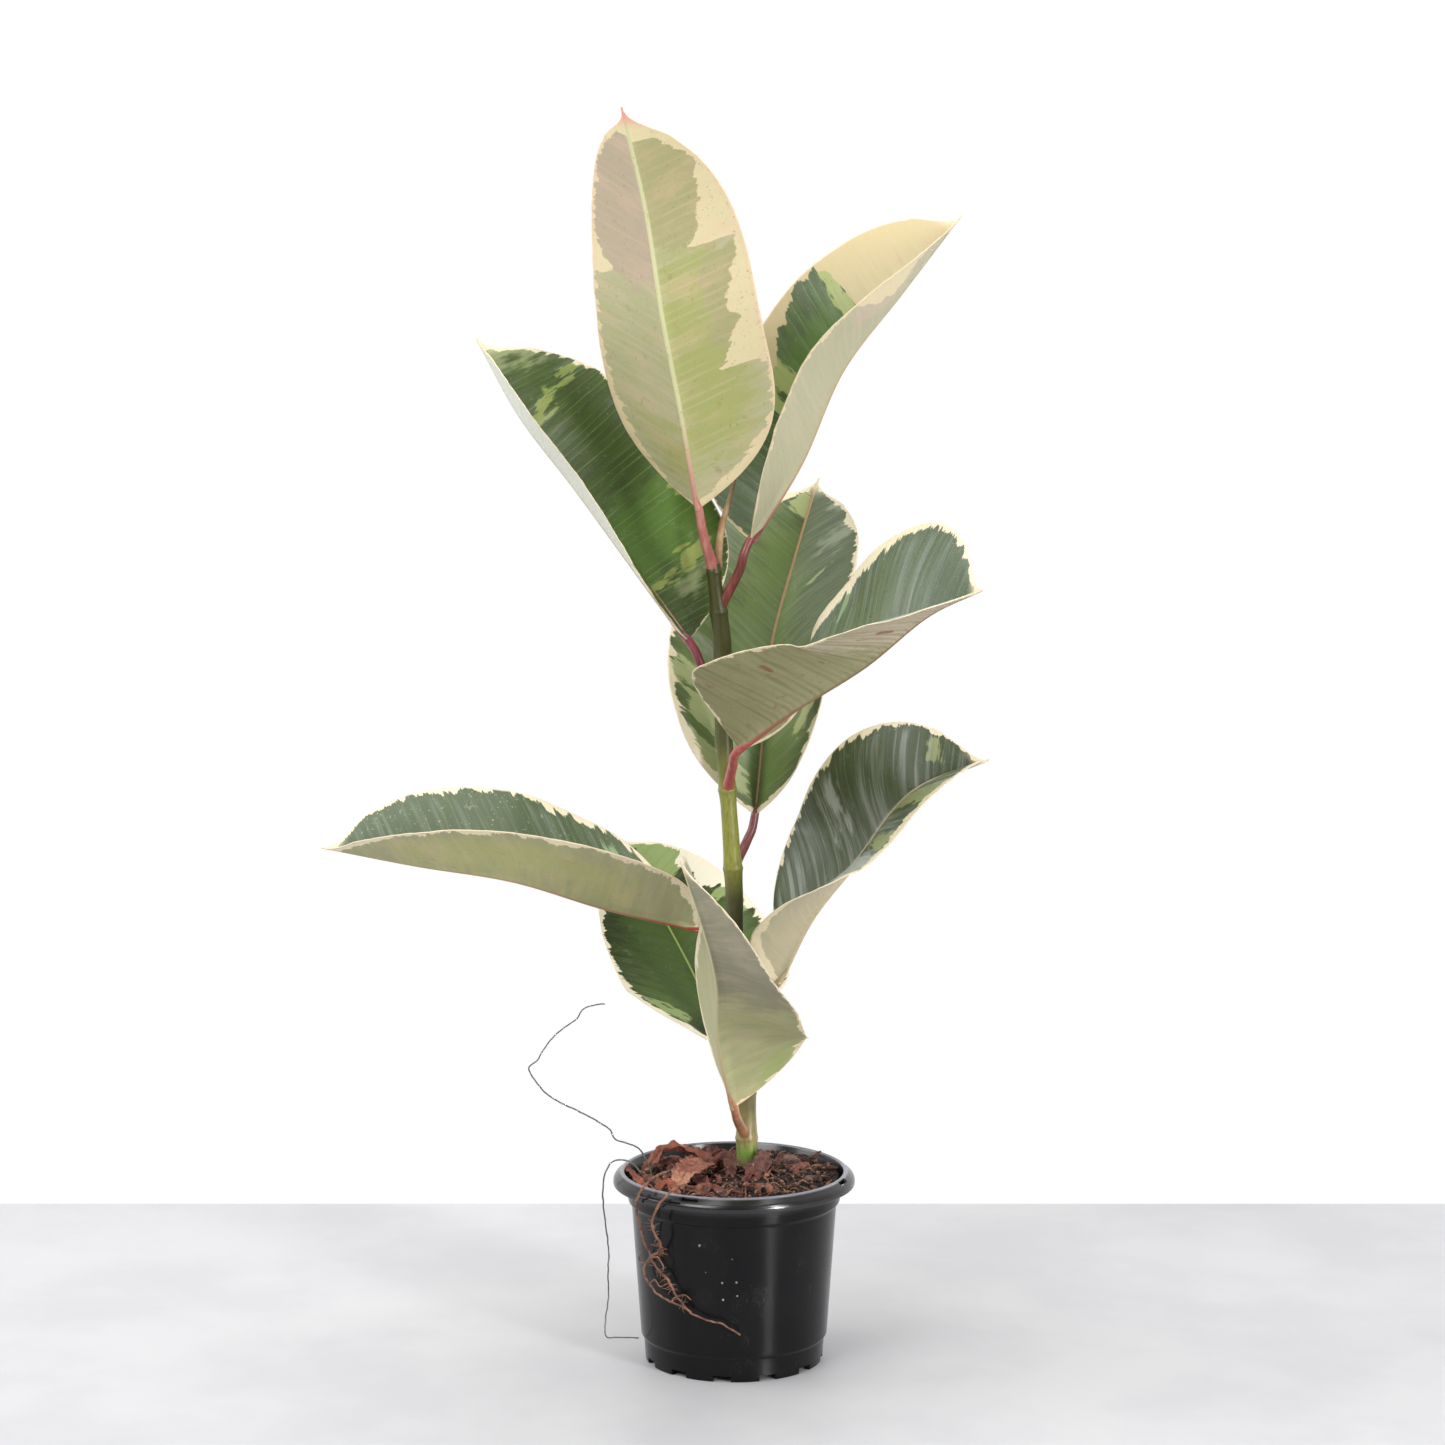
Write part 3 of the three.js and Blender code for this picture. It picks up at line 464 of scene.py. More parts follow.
# The slender dried sheath that stands at the growing tip
SHEATH_POINTS = [
    (-0.0085, 0.0085, 0.461), (-0.0086, 0.008, 0.472), (-0.007, 0.0086, 0.485),
    (-0.0036, 0.009, 0.497), (-0.0008, 0.0095, 0.507), (0.002, 0.01, 0.517),
]
SHEATH_RADII = [(0, 0.0017), (0.2, 0.0021), (0.4, 0.0019), (0.6, 0.0015), (0.8, 0.001), (1, 0.0004)]
SHEATH_STEPS = 60
SHEATH_SIDES = 16

# Roots that have grown out of the pot
LONG_ROOT_LEFT = [
    (-0.027, 0.018, 0.102), (-0.033, 0.004, 0.11), (-0.0385, -0.012, 0.113), (-0.0446, -0.036, 0.117),
    (-0.0506, -0.05, 0.1156), (-0.0542, -0.0486, 0.109), (-0.056, -0.0464, 0.103),
    (-0.0544, -0.0438, 0.093), (-0.0512, -0.0394, 0.079), (-0.048, -0.0384, 0.071),
    (-0.052, -0.0314, 0.061), (-0.0482, -0.0359, 0.053), (-0.0408, -0.0434, 0.048),
    (-0.0312, -0.0502, 0.0452), (-0.0246, -0.0538, 0.0423),
]
LONG_ROOT_RIGHT = [
    (-0.019, 0.012, 0.102), (-0.0196, -0.002, 0.1064), (-0.0208, -0.02, 0.107),
    (-0.0234, -0.036, 0.1104), (-0.0286, -0.05, 0.1156), (-0.0346, -0.0606, 0.1156),
    (-0.0414, -0.0604, 0.1084), (-0.045, -0.057, 0.101), (-0.0466, -0.0526, 0.0934),
    (-0.045, -0.0498, 0.0866), (-0.0418, -0.0486, 0.0808), (-0.0432, -0.045, 0.0756),
    (-0.0472, -0.0396, 0.07), (-0.0434, -0.043, 0.0642), (-0.0388, -0.0466, 0.0606),
    (-0.0344, -0.0496, 0.0534), (-0.0296, -0.0522, 0.047), (-0.025, -0.0542, 0.0424),
    (-0.0172, -0.0566, 0.039), (-0.007, -0.0584, 0.0366), (0.0032, -0.0584, 0.0304),
]
GREY_ROOTS = {
    "grey_root_upper": [
        (-0.046, 0.007, 0.101), (-0.05, 0.006, 0.113), (-0.0552, 0.0046, 0.1226), (-0.0627, 0.003, 0.1265),
        (-0.069, 0.0015, 0.1292), (-0.0718, 0.0002, 0.1349), (-0.0781, -0.001, 0.1399),
        (-0.0902, -0.0022, 0.1468), (-0.104, -0.0035, 0.1542), (-0.1119, -0.0048, 0.1616),
        (-0.117, -0.006, 0.1695), (-0.1178, -0.0072, 0.1739), (-0.1131, -0.0085, 0.1783),
        (-0.1098, -0.0098, 0.1845), (-0.1022, -0.011, 0.1942), (-0.0912, -0.0122, 0.2027),
        (-0.0866, -0.0135, 0.209), (-0.0802, -0.0148, 0.212), (-0.0742, -0.016, 0.2128),
    ],
    "grey_root_lower": [
        (-0.049, -0.005, 0.101), (-0.054, -0.0054, 0.111), (-0.06, -0.0058, 0.1174),
        (-0.0671, -0.006, 0.1187), (-0.0722, -0.0066, 0.1159), (-0.0752, -0.0072, 0.1083),
        (-0.0758, -0.0078, 0.0954), (-0.0741, -0.0085, 0.0798), (-0.0726, -0.0091, 0.0642),
        (-0.073, -0.0097, 0.0512), (-0.0729, -0.0103, 0.0389), (-0.0743, -0.0109, 0.0262),
        (-0.0749, -0.0115, 0.0186), (-0.0732, -0.0122, 0.0146), (-0.068, -0.0128, 0.0148),
        (-0.061, -0.0132, 0.0147), (-0.0553, -0.0134, 0.0149),
    ],
}
ROOTLETS = [
    [(-0.0476, -0.039, 0.07), (-0.0514, -0.0358, 0.066), (-0.0546, -0.031, 0.0666), (-0.053, -0.034, 0.072)],
    [(-0.0474, -0.0394, 0.0702), (-0.0434, -0.0446, 0.0716), (-0.0404, -0.0482, 0.067),
     (-0.042, -0.0466, 0.0624)],
    [(-0.0484, -0.0364, 0.054), (-0.0454, -0.0412, 0.0574), (-0.0422, -0.045, 0.055),
     (-0.0374, -0.0486, 0.0576)],
    [(-0.036, -0.0476, 0.0466), (-0.0334, -0.0504, 0.0504), (-0.0282, -0.0538, 0.0524),
     (-0.0246, -0.0552, 0.0496)],
]
HAIR_COUNT = 95
HAIR_SPAN = (0.5, 0.82)
HAIR_LENGTHS = (0.002, 0.0065)
HAIR_WAYS = ((-1, 1), (-0.6, 0.2), (-0.8, 0.6))
HAIR_BENDS = ((-1, 1), (-0.4, 0.3), (-1, 1))
HAIR_BEND_SHARE = 0.6

# Rootlets that lie on the soil: points across it, and how high their middle lies above it
SOIL_ROOTLETS = [
    [(-0.0165, -0.026), (-0.0135, -0.011), (-0.008, 0.006), (-0.001, 0.0115)],
    [(-0.0282, -0.022), (-0.022, -0.033), (-0.0142, -0.041), (-0.0065, -0.054)],
    [(-0.0196, -0.049), (-0.013, -0.043), (-0.007, -0.05)],
    [(0.007, -0.016), (0.0066, -0.034), (0.0054, -0.057)],
    [(-0.05, -0.014), (-0.043, -0.0245), (-0.034, -0.0165), (-0.027, -0.03)],
]
ROOTLET_LIFT = 0.0014

# Each kind of strand: its radius at the start and at the end, its sides, the step along it and
# how far it wavers
STRANDS = {
    "left root": dict(radii=(0.00085, 0.0006), sides=10, step=0.0012, waver=0.0006),
    "right root": dict(radii=(0.00085, 0.0005), sides=10, step=0.0012, waver=0.0006),
    "rootlet": dict(radii=(0.0005, 0.0003), sides=6, step=0.001, waver=0.0004),
    "root hair": dict(radii=(0.0002, 0.0001), sides=4, step=0.001, waver=0.0003),
    "soil rootlet": dict(radii=(0.0006, 0.0004), sides=6, step=0.001, waver=0.0007),
    "grey root": dict(radii=(0.0005, 0.00038), sides=8, step=0.0014, waver=0.0004),
    "twig": dict(radii=(0.0009, 0.000675), sides=12, step=0.0007, waver=0.0004),
    "fibre": dict(radii=(0.00038, 0.0002), sides=3, step=0.0016, waver=0.0003),
}
LEAST_STRAND_STEPS = 4
WAVER_SCALE = 260
WAVER_START_SHARE = 1 / 6
KNOT_SCALE = 500
KNOT_SHARE = 0.22

# Dried scraps of leaf and sheath on the soil: points along each, the side that it shows, its turn
# and fold, half its width, and its colours: dark, light and far end
SCRAP_ROWS = 44
SCRAP_COLUMNS = 22
SCRAP_THICKNESS = 0.0004
SCRAP_CRUMPLE = 0.002
SCRAP_CRUMPLE_SCALE = 190
SCRAP_TEAR = 0.28
SCRAP_TEARS = 19
SCRAP_END_WIDTH = 0.35
SCRAP_WIDTH_CHANGE = 0.18
SCRAP_WIDTH_CHANGES = 7
SCRAPS = {
    "dried_sheath": dict(
        points=[
            (-0.052, 0.015, 0.103), (-0.047, 0.019, 0.1115), (-0.038, 0.024, 0.1164),
            (-0.026, 0.023, 0.1154), (-0.016, 0.019, 0.1114), (-0.01, 0.017, 0.1045),
        ],
        faces=(0, -0.6, 1), twist=(10, -34, 6), fold=(24, 34, 20),
        width=0.006, seed=1, colours=("#6a3a2e", "#97583f", "#7c4636"),
    ),
    "rim_scrap": dict(
        points=[
            (-0.057, 0.014, 0.103), (-0.0596, 0.006, 0.1096), (-0.0598, -0.006, 0.1116),
            (-0.0554, -0.018, 0.11), (-0.0486, -0.027, 0.103),
        ],
        faces=(0.7, -0.5, 1), twist=(0, 6, 0), fold=(12, 20, 12),
        width=0.0036, seed=2, colours=("#6c3428", "#8f4a36", "#a8604a"),
    ),
    "broad_scrap": dict(
        points=[
            (-0.016, 0.015, 0.104), (-0.017, 0.008, 0.1134), (-0.022, -0.004, 0.1142),
            (-0.0286, -0.016, 0.1122), (-0.035, -0.027, 0.103),
        ],
        faces=(-0.1, -0.7, 1), twist=(-12, 6, 14), fold=(20, 14, 26),
        width=0.0085, seed=3, colours=("#74412f", "#9d604a", "#bd8a6c"),
    ),
    "front_scrap": dict(
        points=[
            (-0.046, -0.031, 0.103), (-0.042, -0.0294, 0.109), (-0.0366, -0.03, 0.11),
            (-0.0316, -0.04, 0.103),
        ],
        faces=(0, -0.5, 1), twist=(8, -10, 12), fold=(18, 30, 18),
        width=0.0036, seed=4, colours=("#7d4430", "#a0593f", "#b8734f"),
    ),
    "stem_scrap_left": dict(
        points=[
            (-0.009, 0.012, 0.104), (-0.008, 0.01, 0.113), (-0.0045, 0.0065, 0.1165),
            (-0.0016, 0, 0.113), (-0.0024, -0.005, 0.104),
        ],
        faces=(0.2, -0.8, 0.8), twist=(0, 24, 0), fold=(22, 40, 22),
        width=0.0046, seed=5, colours=("#43251f", "#704234", "#583027"),
    ),
    "stem_scrap_right": dict(
        points=[
            (0.0195, 0.016, 0.104), (0.0186, 0.008, 0.115), (0.0146, -0.001, 0.1134),
            (0.01, -0.007, 0.11), (0.008, -0.013, 0.103),
        ],
        faces=(0.5, -0.7, 0.7), twist=(0, 12, -8), fold=(16, 26, 18),
        width=0.006, seed=6, colours=("#4e2e29", "#7c4e43", "#6b3d34"),
    ),
}

# Lumps of bark, part sunk in the soil: middle, half sizes and turn in degrees. Their facets and
# rough skin are shares of their size.
BARK = {
    "bark_lump_1": dict(middle=(0.032, 0.024, 0.1096), half=(0.008, 0.005, 0.0044), turn=-14),
    "bark_lump_2": dict(middle=(0.044, -0.01, 0.1078), half=(0.005, 0.0036, 0.003), turn=38),
    "bark_lump_3": dict(middle=(-0.006, -0.034, 0.1062), half=(0.0054, 0.0034, 0.0026), turn=20),
}
BARK_SIZE = 0.93
BARK_FACET_SIZE = 0.03
BARK_FACET_SCALE = 1.7
BARK_ROUGH_SIZE = 0.11
BARK_ROUGH_SCALE = 2.6

# Twigs, part sunk in the soil
TWIGS = {
    "twig_1": [
        (0.024, -0.022, 0.105), (0.032, -0.025, 0.1082), (0.041, -0.03, 0.108), (0.048, -0.033, 0.105),
    ],
    "twig_2": [(0.04, 0.034, 0.106), (0.046, 0.033, 0.111), (0.051, 0.03, 0.1146)],
}

# The loose litter on the soil: sizes are half ones, and a tone runs from 0, dark, to 1, light
CRUMB_COUNT = 1200
CRUMB_SIZES_MM = ((0.4, 1.6), (0.4, 1.6), (0.4, 1.6))
CHIP_COUNT = 230
CHIP_SIZES_MM = ((1.2, 5.4), (0.8, 2.6), (0.4, 1.5))
CRUMB_LIFT = 0.0012
CRUMB_TILT = 0.7
FIBRE_COUNT = 290
FIBRE_LENGTHS = (0.003, 0.014)
FIBRE_LIFTS = (0.0005, 0.003)
FIBRE_REST = 0.0006
FIBRE_SWAY = 0.15
BIT_COUNT = 34
BIT_ROWS = 18
BIT_COLUMNS = 10
BIT_COLOURS = ("#45251f", "#834c3d", "#a06a54")
BIT_POINTS = 4
BIT_STEPS = (0.003, 0.006)
BIT_ARCH = 0.0025
BIT_LIFT = 0.002
BIT_WIDTHS = (0.0015, 0.0042)

# The drops of water on the pot: place across, height and radius
DROPS = [
    (-0.0197, 0.0818, 0.0007), (-0.0069, 0.0602, 0.0006), (0.0012, 0.0607, 0.0006),
    (0.0017, 0.0526, 0.0005), (-0.0064, 0.0502, 0.0006), (-0.0012, 0.0745, 0.0003),
    (-0.0162, 0.0660, 0.0003),
]
DROP_FLATNESS = 0.5
DROP_STANDING = 0.12

# The colours of a blade's two sides: its ground, three kinds of patch, the cream and its peach
# tinge, the rim's line, the side veins, the midrib and its foot, and the drip tip
UPPER = dict(
    deep="#4d5a2d", fresh="#5d7530", light="#9cab68", grey="#94a084", cream="#e9e0bf", peach="#e8d3b6",
    rim="#e9dbb8", vein="#82986a", rib="#bbb384", foot="#c08a78", tip="#e6dbb8", speck="#c9d2c4",
)
UNDER = dict(
    deep="#b8b58c", fresh="#b2b47f", light="#bdc288", grey="#c0b398", cream="#e8dfbe", peach="#e9cfb0",
    rim="#e6d2ae", vein="#cac5a2", rib="#c0a480", foot="#b5655f", tip="#e6d0b0", speck="#8a6a4a",
)
# bloom is the share of grey streaks painted along the veins to stand in for light that the glossy blade
# reflects
UPPER_FINISH = dict(
    gloss=0.5, roughness=0.34, relief=0.14, vein_spacing=0.0048, vein_width=0.0005, vein_strength=0.4,
    rib_width=0.0012, specks=0.12, bloom=0.15, blush=0.0,
)
UNDER_FINISH = dict(
    gloss=0.4, roughness=0.6, relief=-0.12, vein_spacing=0.0052, vein_width=0.001, vein_strength=0.3,
    rib_width=0.0017, specks=0.3, bloom=0.0, blush=0.16,
)
STALK_STREAKS = (1, 1, 0.2)
STEM_STREAKS = (1, 1, 0.3)
STEM_COLOUR_HEIGHT = 0.5
STALK_COLOURS = {
    "leaf_1": ("#cb8b7e", "#ad605a"), "leaf_2": ("#8f4c45", "#6a3530"), "leaf_3": ("#8c4147", "#6a2e33"),
    "leaf_4": ("#8a4d4d", "#7c4444"), "leaf_5": ("#c0605b", "#aa4e4b"), "leaf_6": ("#b8ab88", "#a89674"),
    "leaf_7": ("#a04030", "#8f4034"), "leaf_8": ("#b88a66", "#a06a50"), "leaf_9": ("#a8705c", "#955a4c"),
}

# The colours of the stem from its foot upwards, and those of the litter from dark to light
STEM_STOPS = [
    (0.226, "#a79d6a"), (0.236, "#6f9a3e"), (0.252, "#9a8c58"), (0.29, "#6b6438"), (0.4, "#3b3a1f"),
    (0.54, "#4c4d2b"), (0.585, "#979745"), (0.66, "#929149"), (0.72, "#53562b"), (0.93, "#48451f"),
]
LITTER_STOPS = [(0.0, "#130c0b"), (0.3, "#35221d"), (0.55, "#744c3f"), (0.8, "#ab7f65"), (1.0, "#d8ba98")]

# The tabletop, whose far edge shows behind the pot
TABLE_WIDTH = 6
TABLE_THICKNESS = 0.03
TABLE_NEAR_EDGE = -3
TABLE_FAR_EDGE = 0.3355

# The lights: place, what they point at, size, power in watts and, for a beam, its spread in degrees
LIGHTS = {
    "key": dict(place=(-1.7, -2.3, 2.3), target=(0, 0, 0.35), size=(1.6, 1.6), power=50),
    "strip": dict(place=(1.45, -1.65, 0.6), target=(0, 0, 0.2), size=(0.2, 1.8), power=34),
    "pot beam": dict(
        place=(1.45, -1.65, 0.2), target=(0, 0, 0.01), size=(0.2, 0.3), power=0.14, spread=8,
    ),
    "top": dict(place=(0, 0, 2.6), target=(0, 0, 0.35), size=(2, 2), power=34),
    "side": dict(place=(-2, 0, 1.6), target=(0, 0, 0.35), size=(1.2, 1.8), power=22),
}


def smoothly(values, share):
    """Value at a share from 0 to 1 of a smooth run through three given values."""
    start, middle, end = values
    ends = start * (1 - share) * (1 - 2 * share) + end * share * (2 * share - 1)
    return ends + 4 * middle * share * (1 - share)


def between(pairs, position):
    """Value read off straight lines through (position, value) pairs."""
    if position <= pairs[0][0]:
        return pairs[0][1]
    for (a, low), (b, high) in zip(pairs, pairs[1:]):
        if position <= b:
            return low + (high - low) * (position - a) / (b - a)
    return pairs[-1][1]


def lerp(low, high, share):
    return low + (high - low) * share


def random_vector(chance, *spans):
    """A vector whose parts are drawn in turn from the given spans."""
    return Vector([chance.uniform(*span) for span in spans])


class Route:
    """A smooth curve through points, measured along its length."""

    def __init__(self, points, parts=200):
        self.points = [Vector(point) for point in points]
        self.parts = parts
        self.lengths = [0.0]
        last = self.at(0)
        for part in range(1, parts + 1):
            here = self.at(part / parts)
            self.lengths.append(self.lengths[-1] + (here - last).length)
            last = here
        self.length = self.lengths[-1]

    def at(self, parameter):
        points = self.points
        spans = len(points) - 1
        span = min(int(parameter * spans), spans - 1)
        weight = parameter * spans - span
        a, b = points[span], points[span + 1]
        before = points[span - 1] if span > 0 else 2 * a - b
        after = points[span + 2] if span + 2 <= spans else 2 * b - a
        leave = (b - before) / 2
        arrive = (after - a) / 2
        cubic = 2 * a - 2 * b + leave + arrive
        square = 3 * b - 3 * a - 2 * leave - arrive
        return ((cubic * weight + square) * weight + leave) * weight + a

    def parameter(self, share):
        target = min(max(share, 0), 1) * self.length
        part = min(bisect.bisect_right(self.lengths, target) - 1, self.parts - 1)
        low, high = self.lengths[part], self.lengths[part + 1]
        return (part + (target - low) / (high - low)) / self.parts

    def point(self, share):
        return self.at(self.parameter(share))

    def tangent(self, share):
        middle = self.parameter(share)
        return (self.at(min(middle + 1e-4, 1)) - self.at(max(middle - 1e-4, 0))).normalized()


def colour(code):
    """The linear colour of a code such as #e6dcb2."""
    channels = [int(code[i:i + 2], 16) / 255 for i in (1, 3, 5)]
    linear = [c / 12.92 if c <= 0.04045 else ((c + 0.055) / 1.055) ** 2.4 for c in channels]
    return (*linear, 1)


def put(tree, kind, inputs=(), **settings):
    """A node with its settings, and each input either linked or given a value."""
    made = tree.nodes.new(kind)
    for key, value in settings.items():
        setattr(made, key, value)
    for key, value in dict(inputs).items():
        if isinstance(value, bpy.types.NodeSocket):
            tree.links.new(value, made.inputs[key])
        else:
            made.inputs[key].default_value = value
    return made


def calc(tree, operation, first, *others):
    """The outcome of an operation on one value, or on several in turn from left to right."""
    if not others:
        return put(tree, "ShaderNodeMath", {0: first}, operation=operation).outputs[0]
    for other in others:
        first = put(tree, "ShaderNodeMath", {0: first, 1: other}, operation=operation).outputs[0]
    return first


def times(tree, *values):
    return calc(tree, "MULTIPLY", *values)


def plus(tree, *values):
    return calc(tree, "ADD", *values)


def minus(tree, first, second):
    return calc(tree, "SUBTRACT", first, second)


def blend(tree, share, low, high):
    """Two colours mixed by a share from 0 to 1."""
    return put(tree, "ShaderNodeMix", {0: share, 6: low, 7: high}, data_type="RGBA").outputs[2]


def rise(tree, value, low, high):
    """0 below one value and 1 above another, with a soft step between them."""
    inputs = {"Value": value, "From Min": low, "From Max": high}
    return put(tree, "ShaderNodeMapRange", inputs, interpolation_type="SMOOTHSTEP").outputs[0]


def near(tree, value, full, gone):
    """1 below one value and 0 above another, with a soft step between them."""
    return minus(tree, 1, rise(tree, value, full, gone))


def attribute(tree, name):
    return put(tree, "ShaderNodeAttribute", attribute_name=name).outputs["Fac"]


def coordinates(tree, x, y, z):
    return put(tree, "ShaderNodeCombineXYZ", {0: x, 1: y, 2: z}).outputs[0]


def place_in_object(tree):
    return put(tree, "ShaderNodeTexCoord").outputs["Object"]


def cloud(tree, where, scale, detail=2.0, roughness=0.5):
    """Soft noise from 0 to 1."""
    inputs = {"Vector": where, "Scale": scale, "Detail": detail, "Roughness": roughness}
    return put(tree, "ShaderNodeTexNoise", inputs).outputs[0]


def colour_ramp(tree, share, stops):
    """The colour at a share from 0 to 1, read through stops of a position and a colour code."""
    ramp = put(tree, "ShaderNodeValToRGB", {0: share})
    elements = ramp.color_ramp.elements
    while len(elements) < len(stops):
        elements.new(1)
    for element, (position, code) in zip(elements, stops):
        element.position = position
        element.color = colour(code)
    return ramp.outputs[0]


def node_group(name, inputs, outputs):
    """An empty shader node group, its input node and its output node."""
    group = bpy.data.node_groups.new(name, "ShaderNodeTree")
    for label, kind in inputs:
        group.interface.new_socket(label, in_out="INPUT", socket_type=kind)
    for label, kind in outputs:
        group.interface.new_socket(label, in_out="OUTPUT", socket_type=kind)
    return group, group.nodes.new("NodeGroupInput"), group.nodes.new("NodeGroupOutput")


def material(name, **fixed):
    """A new material, its node tree, and its shader with the given fixed values."""
    made = bpy.data.materials.new(name)
    made.use_nodes = True
    shader = made.node_tree.nodes["Principled BSDF"]
    for key, value in fixed.items():
        shader.inputs[key.replace("_", " ").title().replace("Ior", "IOR")].default_value = value
    return made, made.node_tree, shader


def roughen(tree, shader, height, distance, strength=1.0):
    inputs = {"Height": height, "Distance": distance, "Strength": strength}
    bump = put(tree, "ShaderNodeBump", inputs)
    tree.links.new(bump.outputs[0], shader.inputs["Normal"])


COLOUR = "NodeSocketColor"
VALUE = "NodeSocketFloat"
VECTOR = "NodeSocketVector"


def make_grain():
    """A node group: fine noise over a piece, and its share of the way from one level to another."""
    levels = ("Scale", "Detail", "Roughness", "Low", "High")
    inputs = [("Stretch", VECTOR)] + [(label, VALUE) for label in levels]
    group, given, out = node_group("grain", inputs, [("Noise", VALUE), ("Share", VALUE)])
    of = given.outputs
    stretched = {"Vector": place_in_object(group), "Scale": of["Stretch"]}
    where = put(group, "ShaderNodeMapping", stretched).outputs[0]
    fine = cloud(group, where, of["Scale"], of["Detail"], of["Roughness"])
    group.links.new(fine, out.inputs["Noise"])
    group.links.new(rise(group, fine, of["Low"], of["High"]), out.inputs["Share"])
    return group


grain_group = make_grain()


def grain(tree, scale, levels=(0.35, 0.65), detail=4, roughness=0.6, stretch=(1, 1, 1)):
    """The grain group placed in a material: its noise and its share between two levels."""
    low, high = levels
    inputs = {
        "Scale": scale, "Detail": detail, "Roughness": roughness, "Low": low, "High": high,
        "Stretch": stretch,
    }
    made = put(tree, "ShaderNodeGroup", inputs, node_tree=grain_group)
    return made.outputs["Noise"], made.outputs["Share"]


LEAF_COLOURS = (
    "Deep", "Fresh", "Light", "Grey", "Cream", "Peach", "Rim", "Vein", "Rib", "Foot", "Tip", "Speck",
)
LEAF_VALUES = (
    "Seed", "Vein Spacing", "Vein Width", "Vein Strength", "Rib Width", "Specks", "Bloom", "Blush",
)

# Noise that is drawn out along the side veins: its scale with them and across them, and its detail
STREAKS = (190, 42, 2.5)
FINE_TEETH = (900, 200, 2)
BROAD_TEETH = (75, 60, 2)
# The streaks of the painted sheen
PAINTED_SHEEN = (230, 12, 3)
MOTTLE = (65, 22, 4)

# The green's patches in the order in which they cover each other, with how soft and how ragged
# their borders are
GROUND_PATCHES = (("Fresh", 0.014, 3.0), ("Grey", 0.005, 2.4), ("Light", 0.0011, 1.5))


